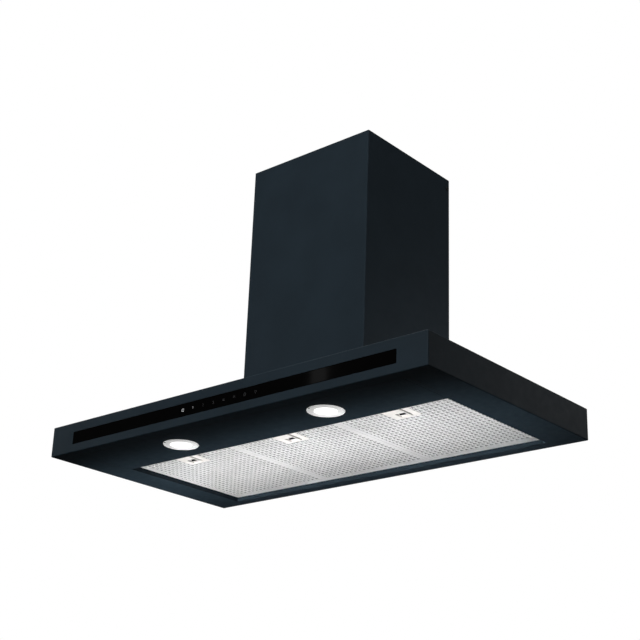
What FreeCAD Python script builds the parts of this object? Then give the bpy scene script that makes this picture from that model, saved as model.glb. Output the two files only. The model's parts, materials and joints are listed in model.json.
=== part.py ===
import FreeCAD, Part
import math
import os

# A wall-mounted chimney range hood in millimetres.
# X points right as seen from the front, Y points to the wall and Z points up.
# The origin is the middle of the canopy's rear bottom edge, on the wall.

Vec = FreeCAD.Vector
X_AXIS = Vec(1, 0, 0)
Y_AXIS = Vec(0, 1, 0)
Z_AXIS = Vec(0, 0, 1)
GAP = 0.3  # clearance between bodies that move against each other

# --- canopy ---
CANOPY_W = 900.0
CANOPY_D = 475.0
CANOPY_H = 59.0
SHEET = 1.2  # painted steel
EDGE_R = 1.6  # outer radius of a fold
RIM_SIDE = 68.4  # width of the underside rim
RIM_FRONT = 25.0
RIM_REAR = 26.0
FOLD_H = 8.5  # height of the rim's inner up-fold
FRONT_FOLD_H = 12.0

OPEN_X = CANOPY_W / 2 - RIM_SIDE
OPEN_FRONT = RIM_FRONT - CANOPY_D
OPEN_REAR = -RIM_REAR
TOP_UNDER = CANOPY_H - SHEET
INNER_X = CANOPY_W / 2 - SHEET
INNER_FRONT = SHEET - CANOPY_D

# --- light panel and lamps ---
PANEL_GAP = 0.4
PANEL_D = 121.7
PANEL_FOLD_H = 8.8
STRIKE_H = 10.5  # the panel's rear fold, which the filter latches catch
LIP_W = 10.5
LIP_FRONT = 6.0  # where the side lips start behind the panel's front fold
PANEL_REAR = OPEN_FRONT + PANEL_D
PANEL_SCREW_X = (-300.0, -120.0, 120.0, 300.0)
PANEL_SCREW_Z = 6.6
LAMP_X = 175.5
LAMP_Y = -392.4
LAMP_R = 33.0
LAMP_HOLE_R = 30.0
LENS_R = 19.5
LENS_SEAT_R = 22.5
LENS_WALL = 1.8
LAMP_DROP = 1.6  # how far the lamp's face stands below the panel
PRY_W = 7.0  # notch in the ring's edge for a tool
PRY_D = 2.6
PRY_ANGLE = -23.0
LAMP_CUP_R = 28.5
LAMP_CUP_BORE_R = 24.5
LAMP_CUP_BASE = 5.0
LAMP_CUP_H = 13.0
LAMP_FIN_X = (-18, -12, -6, 0, 6, 12, 18)
LAMP_FIN_HALF_D = 20.0
LAMP_FIN_TOP = 30.0
LAMP_BOARD_R = 22.0
LAMP_BOARD_Z = 11.4
LED_COUNT = 6
LED_CIRCLE_R = 9.0
LED_HALF = 1.7
LED_H = 0.8
CLIP_HALF_W = 6.0
DIVIDER_Y = PANEL_REAR - 7.0
DIVIDER_FOOT_D = 9.0
DIVIDER_FLANGE_D = 12.0
LEAD_PASS_X = -70.0  # where the motor lead goes through the divider and the tray
LEAD_PASS_Z = 41.0

# --- control strip ---
STRIP_W = 777.0
STRIP_H = 23.8
STRIP_Z = 28.1
STRIP_GAP = 0.4  # clearance around the glass in the canopy's front
GLASS_T = 3.6
KEY_PITCH = 25.2
KEY_COUNT = 8
CARRIER_D = 13.0
CARRIER_END = 8.0  # how far the carrier reaches past each end of the glass
CARRIER_EDGE = 5.0  # and past its upper and lower edges
POCKET_HALF_H = 9.0
PLUG_HALF_W = 20.0
PLUG_HALF_H = 6.0
BOARD_T = 1.6
KEY_BOARD_HALF_H = 8.8
KEY_LED_HALF = 1.6

# --- grease filters ---
FILTER_COUNT = 3
FILTER_FACE = 9.0
FILTER_T = 9.0
FILTER_BORDER = 8.5
FRAME_T = 1.0
SHEET_ALU = 0.8
FILTER_PITCH = 2 * OPEN_X / FILTER_COUNT
FILTER_W = FILTER_PITCH - 0.8
FILTER_FRONT = PANEL_REAR + 0.5
FILTER_REAR = OPEN_REAR - 0.5
FILTER_TOP = FILTER_FACE + FILTER_T
TAB_W = 24.0
TAB_REACH = 11.0
TAB_Z = FOLD_H + 0.8
TAB_T = 1.5
TAB_X = (-80, 80)  # each tab's middle, from the filter's middle
SHEET_SET = 0.2  # how far the perforated sheets stand in from the frame's faces

# --- filter latch ---
LATCH_W = 56.0
LATCH_REAR = -263.0
BLOCK_W = 26.0
BLOCK_DROP = 1.7  # how far the raised block stands below the filter face
GROOVE_W = 2.0  # shadow groove in the plate along each side of the block
GROOVE_D = 1.0
WINDOW = 20.0
WINDOW_Y = -282.0
BOLT_W = 12.0
BOLT_T = 3.0
BOLT_REACH = 5.0
BOLT_Z = FILTER_FACE + 2.4
CASE_WALL = 1.6
CASE_TOP = FILTER_TOP - FRAME_T
CASE_FRONT = FILTER_FRONT + FILTER_BORDER
CAVITY_FLOOR = FILTER_FACE + 1.5
CAVITY_TOP = CASE_TOP - 1.5
CAVITY_HALF = 10.6
SLIDE_FRONT = -312.0
SLIDE_REAR = -274.0
SPRING_R = 2.0
SPRING_WIRE_R = 0.35
SPRING_PITCH = 2.7

# --- blower box, scroll and fan ---
BOX_W = 250.0
BOX_D = 252.0
BOX_T = 1.0
BOX_TOP = 336.0
BOX_LIP = 14.0
BOX_CHEEK = 12.0  # width of the chassis's two front edges
FLANGE_SCREW_Y = (-225.0, -135.0, -45.0)
COVER_SCREW_Z = (85.0, 190.0, 315.0)
COVER_RIB_Z = (120.0, 180.0, 240.0)
AIR_W = 236.0  # opening in the canopy's top
AIR_FRONT = -240.0
AIR_REAR = -16.0
FAN_Y = -138.0
FAN_Z = 178.0
FAN_R = 75.0
FAN_HALF = 60.0
BLADE_COUNT = 36
BLADE_IN_R = 61.0
BLADE_OUT_R = 74.0
VOLUTE_R = 86.0  # radius of the first of three quarter arcs
VOLUTE_STEP = 10.0  # how much each next quarter grows
SCROLL_HALF = 76.0
SCROLL_T = 2.0
THROAT_W = 154.0
INLET_R = 57.0
SHAFT_R = 4.0
MOTOR_R = 42.0
MOTOR_LEFT = -62.0
MOTOR_RIGHT = -9.0
MOUNT_X = -84.0
MOUNT_T = 2.5
MOUNT_ARMS = 3
POST_CIRCLE_R = 25.0
POST_R = 3.5
SHIELD_D = 16.0  # depth of each of the motor's end shields
GUARD_GAP = 18.0  # how far the inlet guards stand off the scroll
GUARD_HOOPS = (16, 38, 60)
CAP_R = 15.0
CAP_Y = -45.0
CAP_BASE, CAP_TOP = 120.0, 178.0

# --- outlet ---
DUCT_R = 75.0
DUCT_T = 1.2
DUCT_Y = -105.0
DUCT_H = 52.0
DUCT_FLANGE_W = 12.0
LEDGE_W = 4.0  # from the spigot's outside to the inside of the flap ledge
LEDGE_T = 1.6
LEDGE_NOTCH = 7.0  # half the gap in the ledge at the flap pins
FLAP_Z = BOX_TOP + 10.5
FLAP_T = 1.0
FLAP_RIB_X = (-25.0, 25.0)
FLAP_RIB_H = 3.0
FLAP_PIN_R = 1.5
FLAP_PIN_Y = 2.4  # distance of each flap's pin from the duct's axis

# --- chimney ---
CHIM_W = 300.0
CHIM_D = 265.0
CHIM_TOP = 609.5
CHIM_T = 1.0
UPPER_INSET = 3.0  # how far the inner section stands in from the outer one
UPPER_BOTTOM = CANOPY_H + 2.0
UPPER_TOP = 607.5
UPPER_RETURN = 13.0
BRACKET_Z = 589.0
BRACKET_H = 30.0
SLOT_COUNT = 6
SLOT_PITCH = 10.0
SLOT_LENGTH = 70.0
SLOT_FRONT = -165.0
UPPER_REAR = -1.5
UPPER_FIX_Z = UPPER_TOP - 15.0
RIVET_Y = -11.6
RIVET_R = 2.0
RIVET_HEAD_R = 3.5
RIVET_HEAD_H = 1.4
EAR_D = 18.0  # depth of the upper bracket's ears
EAR_GAP = 0.2  # between the chimney's sides and what stands inside them
GUIDE_FRONT, GUIDE_REAR = -200.0, -60.0
GUIDE_H = 22.0
GUIDE_T = 1.5
SHELF_W = 8.0
SHELF_T = 1.4

# --- holes and screws ---
WALL_HOLE_R = 4.25
WALL_HOLE_UPPER_X = 90.0
WALL_HOLE_UPPER_Z = 300.0
WALL_HOLE_LOWER_X = 210.0
WALL_HOLE_LOWER_Z = 34.0
BRACKET_HOLE_R = 2.75
BRACKET_HOLE_X = 100.0
SCREW_R = 1.9
SCREW_HEAD_R = 3.6
SCREW_HEAD_H = 2.2
SCREW_LENGTH = 9.0
GLAND_X = -95.0
GLAND_Y = -225.0
GLAND_R = 4.5
GLAND_THREAD_R = 8.0
GLAND_NECK_R = 9.0
GLAND_FLANGE_R = 11.0

# --- electronics in the service space ---
TRAY_LEFT, TRAY_RIGHT = -95.0, 75.0
TRAY_FRONT, TRAY_REAR = -442.0, -354.0
TRAY_BASE = SHEET + 2.0
TRAY_SPLIT = 32.0
TRAY_TOP = 51.0
TRAY_T = 2.0
DRIVER_LEFT, DRIVER_RIGHT = 238.0, 330.0
DRIVER_FRONT, DRIVER_REAR = -420.0, -378.0
DRIVER_TOP = 27.0
DRIVER_FOOT_W = 9.0
DRIVER_FOOT_IN = 12.0
TRAY_FOOT_R = 5.0
TRAY_FOOT_IN = 12.0  # each foot's distance from the tray's edges
TRANSFORMER_H = 28.0
RELAY_W, RELAY_H = 16.0, 15.0
FILTER_CAP_R, FILTER_CAP_H = 9.0, 26.0
SOCKET_W, SOCKET_H = 12.0, 9.0
TERMINAL_H = 17.0
TERMINAL_PITCH = 13.0
POLE_COUNT = 3
LEAD_R = 2.0
MOTOR_LEAD_R = 3.0


def box(x0, x1, y0, y1, z0, z1):
    return Part.makeBox(x1 - x0, y1 - y0, z1 - z0, Vec(x0, y0, z0))


def rod(radius, start, end):
    axis = end - start
    return Part.makeCylinder(radius, axis.Length, start, axis)


def ring(outer, inner, start, end):
    return rod(outer, start, end).cut(rod(inner, start, end))


def fuse(shapes):
    return shapes[0].multiFuse(shapes[1:]).removeSplitter()


def cut(shape, tools):
    return shape.cut(Part.makeCompound(tools))


def mirrored(shape):
    return shape.mirror(Vec(0, 0, 0), X_AXIS)


def rounded(shape, radius, wanted):
    edges = [edge for edge in shape.Edges if wanted(edge.CenterOfMass)]
    return shape.makeFillet(radius, edges)


def slab_with_corners(x0, x1, y0, y1, z0, z1, radius):
    """A flat plate with its four upright edges rounded."""
    middle = (z0 + z1) / 2
    plate = box(x0, x1, y0, y1, z0, z1)
    return rounded(plate, radius, lambda c: abs(c.z - middle) < 1e-6)


def polygon(points):
    return Part.Face(Part.makePolygon(points + points[:1]))


def turned(profile, centre):
    """A body of revolution about Z from (radius, height) points."""
    face = polygon([Vec(r, 0, z) for r, z in profile])
    solid = face.revolve(Vec(0, 0, 0), Z_AXIS, 360)
    solid.translate(centre)
    return solid


def lead(points, radius):
    """A round lead: straight runs joined by tangent arcs."""
    edges = []
    start = points[0]
    for before, here, after in zip(points, points[1:], points[2:]):
        back, ahead = before - here, after - here
        turn = math.pi - back.getAngle(ahead)
        bend = 0.45 * min(back.Length, ahead.Length)
        back.normalize()
        ahead.normalize()
        first, last = here + back * bend, here + ahead * bend
        bisector = back + ahead
        bisector.normalize()
        arc_r = bend / math.tan(turn / 2)
        middle = here + bisector * (arc_r / math.cos(turn / 2) - arc_r)
        print("lead bend radius %.1f mm" % arc_r)
        edges.append(Part.LineSegment(start, first).toShape())
        edges.append(Part.Arc(first, middle, last).toShape())
        start = last
    edges.append(Part.LineSegment(start, points[-1]).toShape())
    path = Part.Wire(edges)
    section = Part.Wire(Part.Circle(points[0], points[1] - points[0], radius).toShape())
    tube = path.makePipeShell([section], True, False)
    ratio = tube.Volume / (math.pi * radius ** 2 * path.Length)
    print("lead volume over section times length %.4f" % ratio)
    return tube


def screw(head_base, direction):
    """A pan-head sheet-metal screw: its head stands back from the sheet, its shank points on."""
    head = rod(SCREW_HEAD_R, head_base - direction * SCREW_HEAD_H, head_base)
    slot = rod(1.2, head_base - direction * SCREW_HEAD_H, head_base - direction * 0.9)
    shank = rod(SCREW_R, head_base, head_base + direction * SCREW_LENGTH)
    return fuse([head, shank]).cut(slot)


def screw_hole(head_base, direction):
    return rod(SCREW_R, head_base - direction, head_base + direction * SCREW_LENGTH)


# --- places that several pieces share ---

PANEL_SCREWS = [Vec(x, OPEN_FRONT + PANEL_GAP + SHEET, PANEL_SCREW_Z) for x in PANEL_SCREW_X]
FLANGE_SCREWS = [
    Vec(side * (BOX_W / 2 + BOX_LIP / 2), y, CANOPY_H + BOX_T)
    for side in (-1, 1)
    for y in FLANGE_SCREW_Y
]
COVER_SCREWS = [
    Vec(side * (BOX_W / 2 - BOX_CHEEK / 2), -BOX_D - BOX_T, z)
    for side in (-1, 1)
    for z in COVER_SCREW_Z
]
SIDE_SCREW_Y = -6.5
CHIM_SCREWS = [
    (Vec(side * CHIM_W / 2, SIDE_SCREW_Y, BRACKET_Z), Vec(-side, 0, 0)) for side in (-1, 1)
]


def canopy_shell():
    half = CANOPY_W / 2
    body = box(-half, half, -CANOPY_D, 0, 0, CANOPY_H)
    body = rounded(body, EDGE_R, lambda c: c.y < -1)
    inside = box(-INNER_X, INNER_X, INNER_FRONT, 1, SHEET, TOP_UNDER)
    below = box(-OPEN_X, OPEN_X, OPEN_FRONT, OPEN_REAR, -1, SHEET + 1)
    above = box(-AIR_W / 2, AIR_W / 2, AIR_FRONT, AIR_REAR, TOP_UNDER - 1, CANOPY_H + 1)
    strip = box(
        -STRIP_W / 2 - STRIP_GAP,
        STRIP_W / 2 + STRIP_GAP,
        -CANOPY_D - 1,
        INNER_FRONT + 1,
        STRIP_Z - STRIP_H / 2 - STRIP_GAP,
        STRIP_Z + STRIP_H / 2 + STRIP_GAP,
    )
    body = cut(body, [inside, below, above, strip])
    outer = OPEN_X + SHEET
    side = box(OPEN_X, outer, OPEN_FRONT - SHEET, OPEN_REAR + SHEET, SHEET / 2, FOLD_H)
    rear = box(-outer, outer, OPEN_REAR, OPEN_REAR + SHEET, SHEET / 2, FOLD_H)
    front = box(-outer, outer, OPEN_FRONT - SHEET, OPEN_FRONT, SHEET / 2, FRONT_FOLD_H)
    body = fuse([body, side, mirrored(side), rear, front])
    holes = [screw_hole(place, -Y_AXIS) for place in PANEL_SCREWS]
    holes += [screw_hole(place, -Z_AXIS) for place in FLANGE_SCREWS]
    return cut(body, holes)


def canopy_back():
    panel = box(-INNER_X, INNER_X, -SHEET, 0, SHEET, TOP_UNDER)
    holes = [
        rod(WALL_HOLE_R, Vec(x, -SHEET - 1, WALL_HOLE_LOWER_Z), Vec(x, 1, WALL_HOLE_LOWER_Z))
        for x in (-WALL_HOLE_LOWER_X, WALL_HOLE_LOWER_X)
    ]
    return cut(panel, holes)


def light_panel():
    edge = OPEN_X - PANEL_GAP
    front = OPEN_FRONT + PANEL_GAP
    plate = box(-edge, edge, front, PANEL_REAR, 0, SHEET)
    lip_top = PANEL_FOLD_H + SHEET
    side = box(edge - SHEET, edge, front, PANEL_REAR, 0, lip_top)
    lip = box(edge - SHEET, edge + LIP_W, front + LIP_FRONT, PANEL_REAR, PANEL_FOLD_H, lip_top)
    front_fold = box(-edge, edge, front, front + SHEET, 0, FRONT_FOLD_H)
    rear_fold = box(-edge, edge, PANEL_REAR - SHEET, PANEL_REAR, 0, STRIKE_H)
    folds = [side, lip, mirrored(side), mirrored(lip), front_fold, rear_fold]
    panel = fuse([plate] + folds)
    holes = [
        rod(LAMP_HOLE_R, Vec(x, LAMP_Y, -1), Vec(x, LAMP_Y, SHEET + 1)) for x in (-LAMP_X, LAMP_X)
    ]
    holes += [screw_hole(place, -Y_AXIS) for place in PANEL_SCREWS]
    return cut(panel, holes)


def lead_pass(front, rear):
    """The hole that the motor lead goes through."""
    return rod(
        MOTOR_LEAD_R, Vec(LEAD_PASS_X, front, LEAD_PASS_Z), Vec(LEAD_PASS_X, rear, LEAD_PASS_Z)
    )


def service_divider():
    """The upright wall behind the service space, with a foot on the panel and a flange on top."""
    foot_x = OPEN_X - PANEL_GAP - SHEET
    lower = box(-foot_x, foot_x, DIVIDER_Y, DIVIDER_Y + SHEET, SHEET, TOP_UNDER)
    foot = box(-foot_x, foot_x, DIVIDER_Y - DIVIDER_FOOT_D, DIVIDER_Y, SHEET, 2 * SHEET)
    wing_z = PANEL_FOLD_H + 2 * SHEET
    wing = box(-INNER_X, INNER_X, DIVIDER_Y, DIVIDER_Y + SHEET, wing_z, TOP_UNDER)
    flange_front = DIVIDER_Y - DIVIDER_FLANGE_D
    flange = box(-INNER_X, INNER_X, flange_front, DIVIDER_Y, TOP_UNDER - SHEET, TOP_UNDER)
    wall = fuse([lower, foot, wing, flange])
    return wall.cut(lead_pass(DIVIDER_Y - 1, PANEL_REAR))


def control_glass():
    half_w, half_h = STRIP_W / 2, STRIP_H / 2
    glass = box(
        -half_w, half_w, -CANOPY_D, -CANOPY_D + GLASS_T, STRIP_Z - half_h, STRIP_Z + half_h
    )
    return rounded(glass, 0.5, lambda c: c.y < -CANOPY_D + 0.1)


def touch_carrier():
    half_w, half_h = STRIP_W / 2, STRIP_H / 2
    back = -CANOPY_D + CARRIER_D
    body = box(
        -half_w - CARRIER_END,
        half_w + CARRIER_END,
        INNER_FRONT,
        back,
        STRIP_Z - half_h - CARRIER_EDGE,
        STRIP_Z + half_h + CARRIER_EDGE,
    )
    seat = box(
        -half_w,
        half_w,
        INNER_FRONT - 1,
        -CANOPY_D + GLASS_T,
        STRIP_Z - half_h,
        STRIP_Z + half_h,
    )
    low, high = STRIP_Z - POCKET_HALF_H, STRIP_Z + POCKET_HALF_H
    pocket = box(-half_w + 4, half_w - 4, INNER_FRONT, back - 2, low, high)
    low, high = STRIP_Z - PLUG_HALF_H, STRIP_Z + PLUG_HALF_H
    plug_hole = box(-PLUG_HALF_W, PLUG_HALF_W, back - 3, back + 1, low, high)
    return cut(body, [seat, pocket, plug_hole])


def touch_board():
    """The key board, with an LED behind each symbol and a plug socket at the back."""
    front = -CANOPY_D + GLASS_T + 1.3
    half = KEY_PITCH * KEY_COUNT / 2 + 15
    back = front + BOARD_T
    low, high = STRIP_Z - KEY_BOARD_HALF_H, STRIP_Z + KEY_BOARD_HALF_H
    pieces = [box(-half, half, front, back, low, high)]
    for key in range(KEY_COUNT):
        x = (key - (KEY_COUNT - 1) / 2) * KEY_PITCH
        low, high = STRIP_Z - KEY_LED_HALF, STRIP_Z + KEY_LED_HALF
        pieces.append(box(x - KEY_LED_HALF, x + KEY_LED_HALF, front - 1, front, low, high))
    pieces.append(box(-12, 12, back, back + 5.4, STRIP_Z - 4, STRIP_Z + 4))
    return pieces


def lamp_ring(x):
    """A shallow bezel with a notch in its edge for a tool."""
    profile = [
        (LENS_R + 0.2, LAMP_CUP_BASE),
        (LENS_R + 0.2, -LAMP_DROP + 0.9),
        (LENS_R + 0.8, -LAMP_DROP + 0.5),
        (LAMP_R - 3.6, -LAMP_DROP),
        (LAMP_R - 2.2, -LAMP_DROP),
        (LAMP_R - 0.7, -LAMP_DROP + 0.5),
        (LAMP_R, 0.0),
        (LAMP_HOLE_R - 0.4, 0.0),
        (LAMP_HOLE_R - 0.4, LAMP_CUP_BASE),
    ]
    notch = box(-PRY_W / 2, PRY_W / 2, -LAMP_R - 1, PRY_D - LAMP_R, -LAMP_DROP - 1, -0.4)
    notch.rotate(Vec(0, 0, 0), Z_AXIS, PRY_ANGLE)
    notch.translate(Vec(x, LAMP_Y, 0))
    return turned(profile, Vec(x, LAMP_Y, 0)).cut(notch)


def lamp_lens(x):
    """A frosted cup, nearly flush with its bezel, with a flange that rests on the bezel."""
    top = LAMP_CUP_BASE + 2
    inner = LENS_R - LENS_WALL
    profile = [
        (0, -LAMP_DROP + 0.1),
        (LENS_R - 5, -LAMP_DROP + 0.2),
        (LENS_R - 1, -LAMP_DROP + 0.5),
        (LENS_R, -LAMP_DROP + 1.2),
        (LENS_R, LAMP_CUP_BASE),
        (LENS_SEAT_R, LAMP_CUP_BASE),
        (LENS_SEAT_R, top),
        (inner, top),
        (inner, LENS_WALL),
        (0, LENS_WALL - LAMP_DROP + 0.3),
    ]
    return turned(profile, Vec(x, LAMP_Y, 0))


def lamp_body(x):
    """A cup that holds the lens and the LED board, with cooling fins on top."""
    base = Vec(x, LAMP_Y, LAMP_CUP_BASE)
    cup = rod(LAMP_CUP_R, base, base + Z_AXIS * LAMP_CUP_H)
    cavity = rod(LAMP_CUP_BORE_R, base, base + Z_AXIS * (LAMP_BOARD_Z + BOARD_T - LAMP_CUP_BASE))
    front, rear = LAMP_Y - LAMP_FIN_HALF_D, LAMP_Y + LAMP_FIN_HALF_D
    low = LAMP_CUP_BASE + LAMP_CUP_H - 0.5
    fins = [
        box(x + offset - 1, x + offset + 1, front, rear, low, LAMP_FIN_TOP) for offset in LAMP_FIN_X
    ]
    return fuse([cup] + fins).cut(cavity)


def lamp_board(x):
    low = LAMP_BOARD_Z
    board = rod(LAMP_BOARD_R, Vec(x, LAMP_Y, low), Vec(x, LAMP_Y, low + BOARD_T))
    chips = []
    for number in range(LED_COUNT):
        angle = 2 * math.pi * number / LED_COUNT
        chip_x = x + LED_CIRCLE_R * math.cos(angle)
        chip_y = LAMP_Y + LED_CIRCLE_R * math.sin(angle)
        left, right = chip_x - LED_HALF, chip_x + LED_HALF
        front, rear = chip_y - LED_HALF, chip_y + LED_HALF
        chips.append(box(left, right, front, rear, low - LED_H, low))
    return [board] + chips


def lamp_clip(x, side):
    """A bent leaf at the front (-1) or rear (1) of a lamp, which grips the panel from above."""
    inner = [(LAMP_CUP_R, 12.0), (35.0, 14.5), (41.5, 3.0), (39.5, SHEET)]
    outer = [(40.9, SHEET), (42.9, 3.2), (35.2, 15.9), (LAMP_CUP_R, 13.4)]
    left = x - CLIP_HALF_W
    face = polygon([Vec(left, LAMP_Y + side * out, z) for out, z in inner + outer])
    return face.extrude(X_AXIS * 2 * CLIP_HALF_W)


def led_driver():
    body = slab_with_corners(
        DRIVER_LEFT, DRIVER_RIGHT, DRIVER_FRONT, DRIVER_REAR, SHEET, DRIVER_TOP, 3.0
    )
    foot = box(
        DRIVER_LEFT - DRIVER_FOOT_W,
        DRIVER_RIGHT + DRIVER_FOOT_W,
        DRIVER_FRONT + DRIVER_FOOT_IN,
        DRIVER_REAR - DRIVER_FOOT_IN,
        SHEET,
        3 * SHEET,
    )
    return fuse([body, foot])


def tray_half(z0, z1, open_up):
    outer = slab_with_corners(TRAY_LEFT, TRAY_RIGHT, TRAY_FRONT, TRAY_REAR, z0, z1, 4.0)
    low = z0 + TRAY_T if open_up else z0 - 1
    high = z1 + 1 if open_up else z1 - TRAY_T
    inner = box(
        TRAY_LEFT + TRAY_T, TRAY_RIGHT - TRAY_T, TRAY_FRONT + TRAY_T, TRAY_REAR - TRAY_T, low, high
    )
    return outer.cut(inner)


def control_tray():
    feet = [
        rod(TRAY_FOOT_R, Vec(x, y, SHEET), Vec(x, y, TRAY_BASE))
        for x in (TRAY_LEFT + TRAY_FOOT_IN, TRAY_RIGHT - TRAY_FOOT_IN)
        for y in (TRAY_FRONT + TRAY_FOOT_IN, TRAY_REAR - TRAY_FOOT_IN)
    ]
    return fuse([tray_half(TRAY_BASE, TRAY_SPLIT, True)] + feet)


def control_cover():
    cover = tray_half(TRAY_SPLIT, TRAY_TOP, False)
    slots = [box(x, x + 3, -425, -375, TRAY_TOP - 3, TRAY_TOP + 1) for x in range(10, 60, 8)]
    return cut(cover, slots + [lead_pass(TRAY_REAR - 4, TRAY_REAR + 1)])


def main_board():
    """The board with its transformer, two relays, filter capacitor and row of sockets."""
    low = TRAY_BASE + TRAY_T
    top = low + BOARD_T
    board = box(TRAY_LEFT + 32, TRAY_RIGHT - 4, TRAY_FRONT + 4, TRAY_REAR - 4, low, top)
    transformer = box(20, 56, -430, -396, top, top + TRANSFORMER_H)
    relays = [box(x, x + RELAY_W, -392, -364, top, top + RELAY_H) for x in (-10, 10)]
    can = rod(FILTER_CAP_R, Vec(-12, -418, top), Vec(-12, -418, top + FILTER_CAP_H))
    sockets = [box(x, x + SOCKET_W, -434, -426, top, top + SOCKET_H) for x in (-56, -40)]
    return [board, transformer] + relays + [can] + sockets


def terminal_block():
    """A three-pole screw terminal block."""
    low = TRAY_BASE + TRAY_T
    top = low + TERMINAL_H
    body = box(TRAY_LEFT + 6, TRAY_LEFT + 28, -425, -385, low, top)
    middle_x = TRAY_LEFT + 17
    wells = []
    for pole in range(POLE_COUNT):
        y = -418.0 + TERMINAL_PITCH * pole
        screw_well = rod(2.6, Vec(middle_x, y, low + 9), Vec(middle_x, y, top + 1))
        wire_well = rod(2.2, Vec(TRAY_LEFT + 5, y, low + 6), Vec(TRAY_LEFT + 12, y, low + 6))
        wells += [screw_well, wire_well]
    return cut(body, wells)


def filter_frame(x):
    """A channel frame of folded aluminium strip, with two rear tabs and a slot for the bolt."""
    left, right = x - FILTER_W / 2, x + FILTER_W / 2
    outer = slab_with_corners(left, right, FILTER_FRONT, FILTER_REAR, FILTER_FACE, FILTER_TOP, 2.0)
    window = box(
        left + FILTER_BORDER,
        right - FILTER_BORDER,
        FILTER_FRONT + FILTER_BORDER,
        FILTER_REAR - FILTER_BORDER,
        FILTER_FACE - 1,
        FILTER_TOP + 1,
    )
    channel = box(
        left + FRAME_T,
        right - FRAME_T,
        FILTER_FRONT + FRAME_T,
        FILTER_REAR - FRAME_T,
        FILTER_FACE + FRAME_T,
        FILTER_TOP - FRAME_T,
    )
    frame = cut(outer, [window, channel])
    tabs = [
        box(
            x + offset - TAB_W / 2,
            x + offset + TAB_W / 2,
            FILTER_REAR - FRAME_T,
            FILTER_REAR + TAB_REACH,
            TAB_Z,
            TAB_Z + TAB_T,
        )
        for offset in TAB_X
    ]
    frame = fuse([frame] + tabs)
    slot = box(
        x - BOLT_W / 2 - GAP,
        x + BOLT_W / 2 + GAP,
        FILTER_FRONT - 1,
        FILTER_FRONT + FRAME_T + 1,
        BOLT_Z - GAP,
        BOLT_Z + BOLT_T + GAP,
    )
    return frame.cut(slot)


def latch_room(x):
    """The space that the latch case takes in the grease pack."""
    half = LATCH_W / 2
    return box(x - half, x + half, CASE_FRONT - 8, LATCH_REAR, FILTER_FACE - 1, FILTER_TOP + 1)


def filter_grille(x):
    """The lower and upper perforated sheets, drawn without their perforations."""
    half = FILTER_W / 2 - FILTER_BORDER
    sheets = []
    for low in (FILTER_FACE + SHEET_SET, FILTER_TOP - SHEET_SET - SHEET_ALU):
        sheet = box(
            x - half,
            x + half,
            FILTER_FRONT + FILTER_BORDER,
            FILTER_REAR - FILTER_BORDER,
            low,
            low + SHEET_ALU,
        )
        sheets.append(sheet.cut(latch_room(x)))
    return sheets


def filter_mesh(x):
    half = FILTER_W / 2 - FRAME_T
    pack = box(
        x - half,
        x + half,
        FILTER_FRONT + FRAME_T,
        FILTER_REAR - FRAME_T,
        FILTER_FACE + FRAME_T,
        FILTER_TOP - FRAME_T,
    )
    return pack.cut(latch_room(x))


def latch_case(x):
    """The latch plate with its raised block, and the slide's box above it."""
    half = LATCH_W / 2
    plate = box(x - half, x + half, CASE_FRONT, LATCH_REAR, FILTER_FACE, CAVITY_FLOOR)
    block = slab_with_corners(
        x - BLOCK_W / 2,
        x + BLOCK_W / 2,
        CASE_FRONT + 1,
        LATCH_REAR - 5,
        FILTER_FACE - BLOCK_DROP,
        FILTER_FACE + 0.5,
        2.0,
    )
    wall = CAVITY_HALF + CASE_WALL
    room = box(x - wall, x + wall, CASE_FRONT, LATCH_REAR, CAVITY_FLOOR - 0.5, CASE_TOP)
    case = fuse([plate, block, room])
    cavity = box(
        x - CAVITY_HALF,
        x + CAVITY_HALF,
        CASE_FRONT - 1,
        LATCH_REAR - CASE_WALL,
        CAVITY_FLOOR,
        CAVITY_TOP,
    )
    window = slab_with_corners(
        x - WINDOW / 2,
        x + WINDOW / 2,
        WINDOW_Y - WINDOW / 2,
        WINDOW_Y + WINDOW / 2,
        FILTER_FACE - BLOCK_DROP - 1,
        CAVITY_FLOOR + 0.5,
        1.5,
    )
    groove = box(
        BLOCK_W / 2,
        BLOCK_W / 2 + GROOVE_W,
        CASE_FRONT + 1,
        LATCH_REAR - 12,
        FILTER_FACE - 1,
        FILTER_FACE + GROOVE_D,
    )
    grooves = [groove, mirrored(groove)]
    for side_groove in grooves:
        side_groove.translate(Vec(x, 0, 0))
    return cut(case, [cavity, window] + grooves)


def latch_slide(x):
    """The slide: a bolt at the front, a hole for the fingertip and a lip to pull back."""
    half = CAVITY_HALF - GAP
    low, high = CAVITY_FLOOR + GAP, CAVITY_TOP - GAP
    body = box(x - half, x + half, SLIDE_FRONT, SLIDE_REAR, low, high)
    finger = box(x - half + 2, x + half - 2, WINDOW_Y - 9, WINDOW_Y + 3, low - 1, high + 1)
    body = body.cut(finger)
    bolt = box(
        x - BOLT_W / 2,
        x + BOLT_W / 2,
        FILTER_FRONT - BOLT_REACH,
        SLIDE_FRONT + 1,
        BOLT_Z,
        BOLT_Z + BOLT_T,
    )
    lip = box(x - 7.5, x + 7.5, WINDOW_Y + 1, WINDOW_Y + 3, FILTER_FACE - BLOCK_DROP + 0.4, low + 1)
    return fuse([body, bolt, lip])


def latch_spring(x):
    """A small coil spring between the slide and the rear of its box."""
    length = LATCH_REAR - CASE_WALL - SLIDE_REAR - 2 * GAP
    coil = Part.makeHelix(SPRING_PITCH, length - 2 * SPRING_WIRE_R, SPRING_R)
    start = Vec(SPRING_R, 0, 0)
    section = Part.Wire(Part.Circle(start, Y_AXIS, SPRING_WIRE_R).toShape())
    spring = Part.Wire(coil.Edges).makePipeShell([section], True, True)
    spring.rotate(Vec(0, 0, 0), X_AXIS, -90)
    height = (CAVITY_FLOOR + CAVITY_TOP) / 2
    spring.translate(Vec(x, SLIDE_REAR + GAP + SPRING_WIRE_R, height))
    return spring


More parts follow.
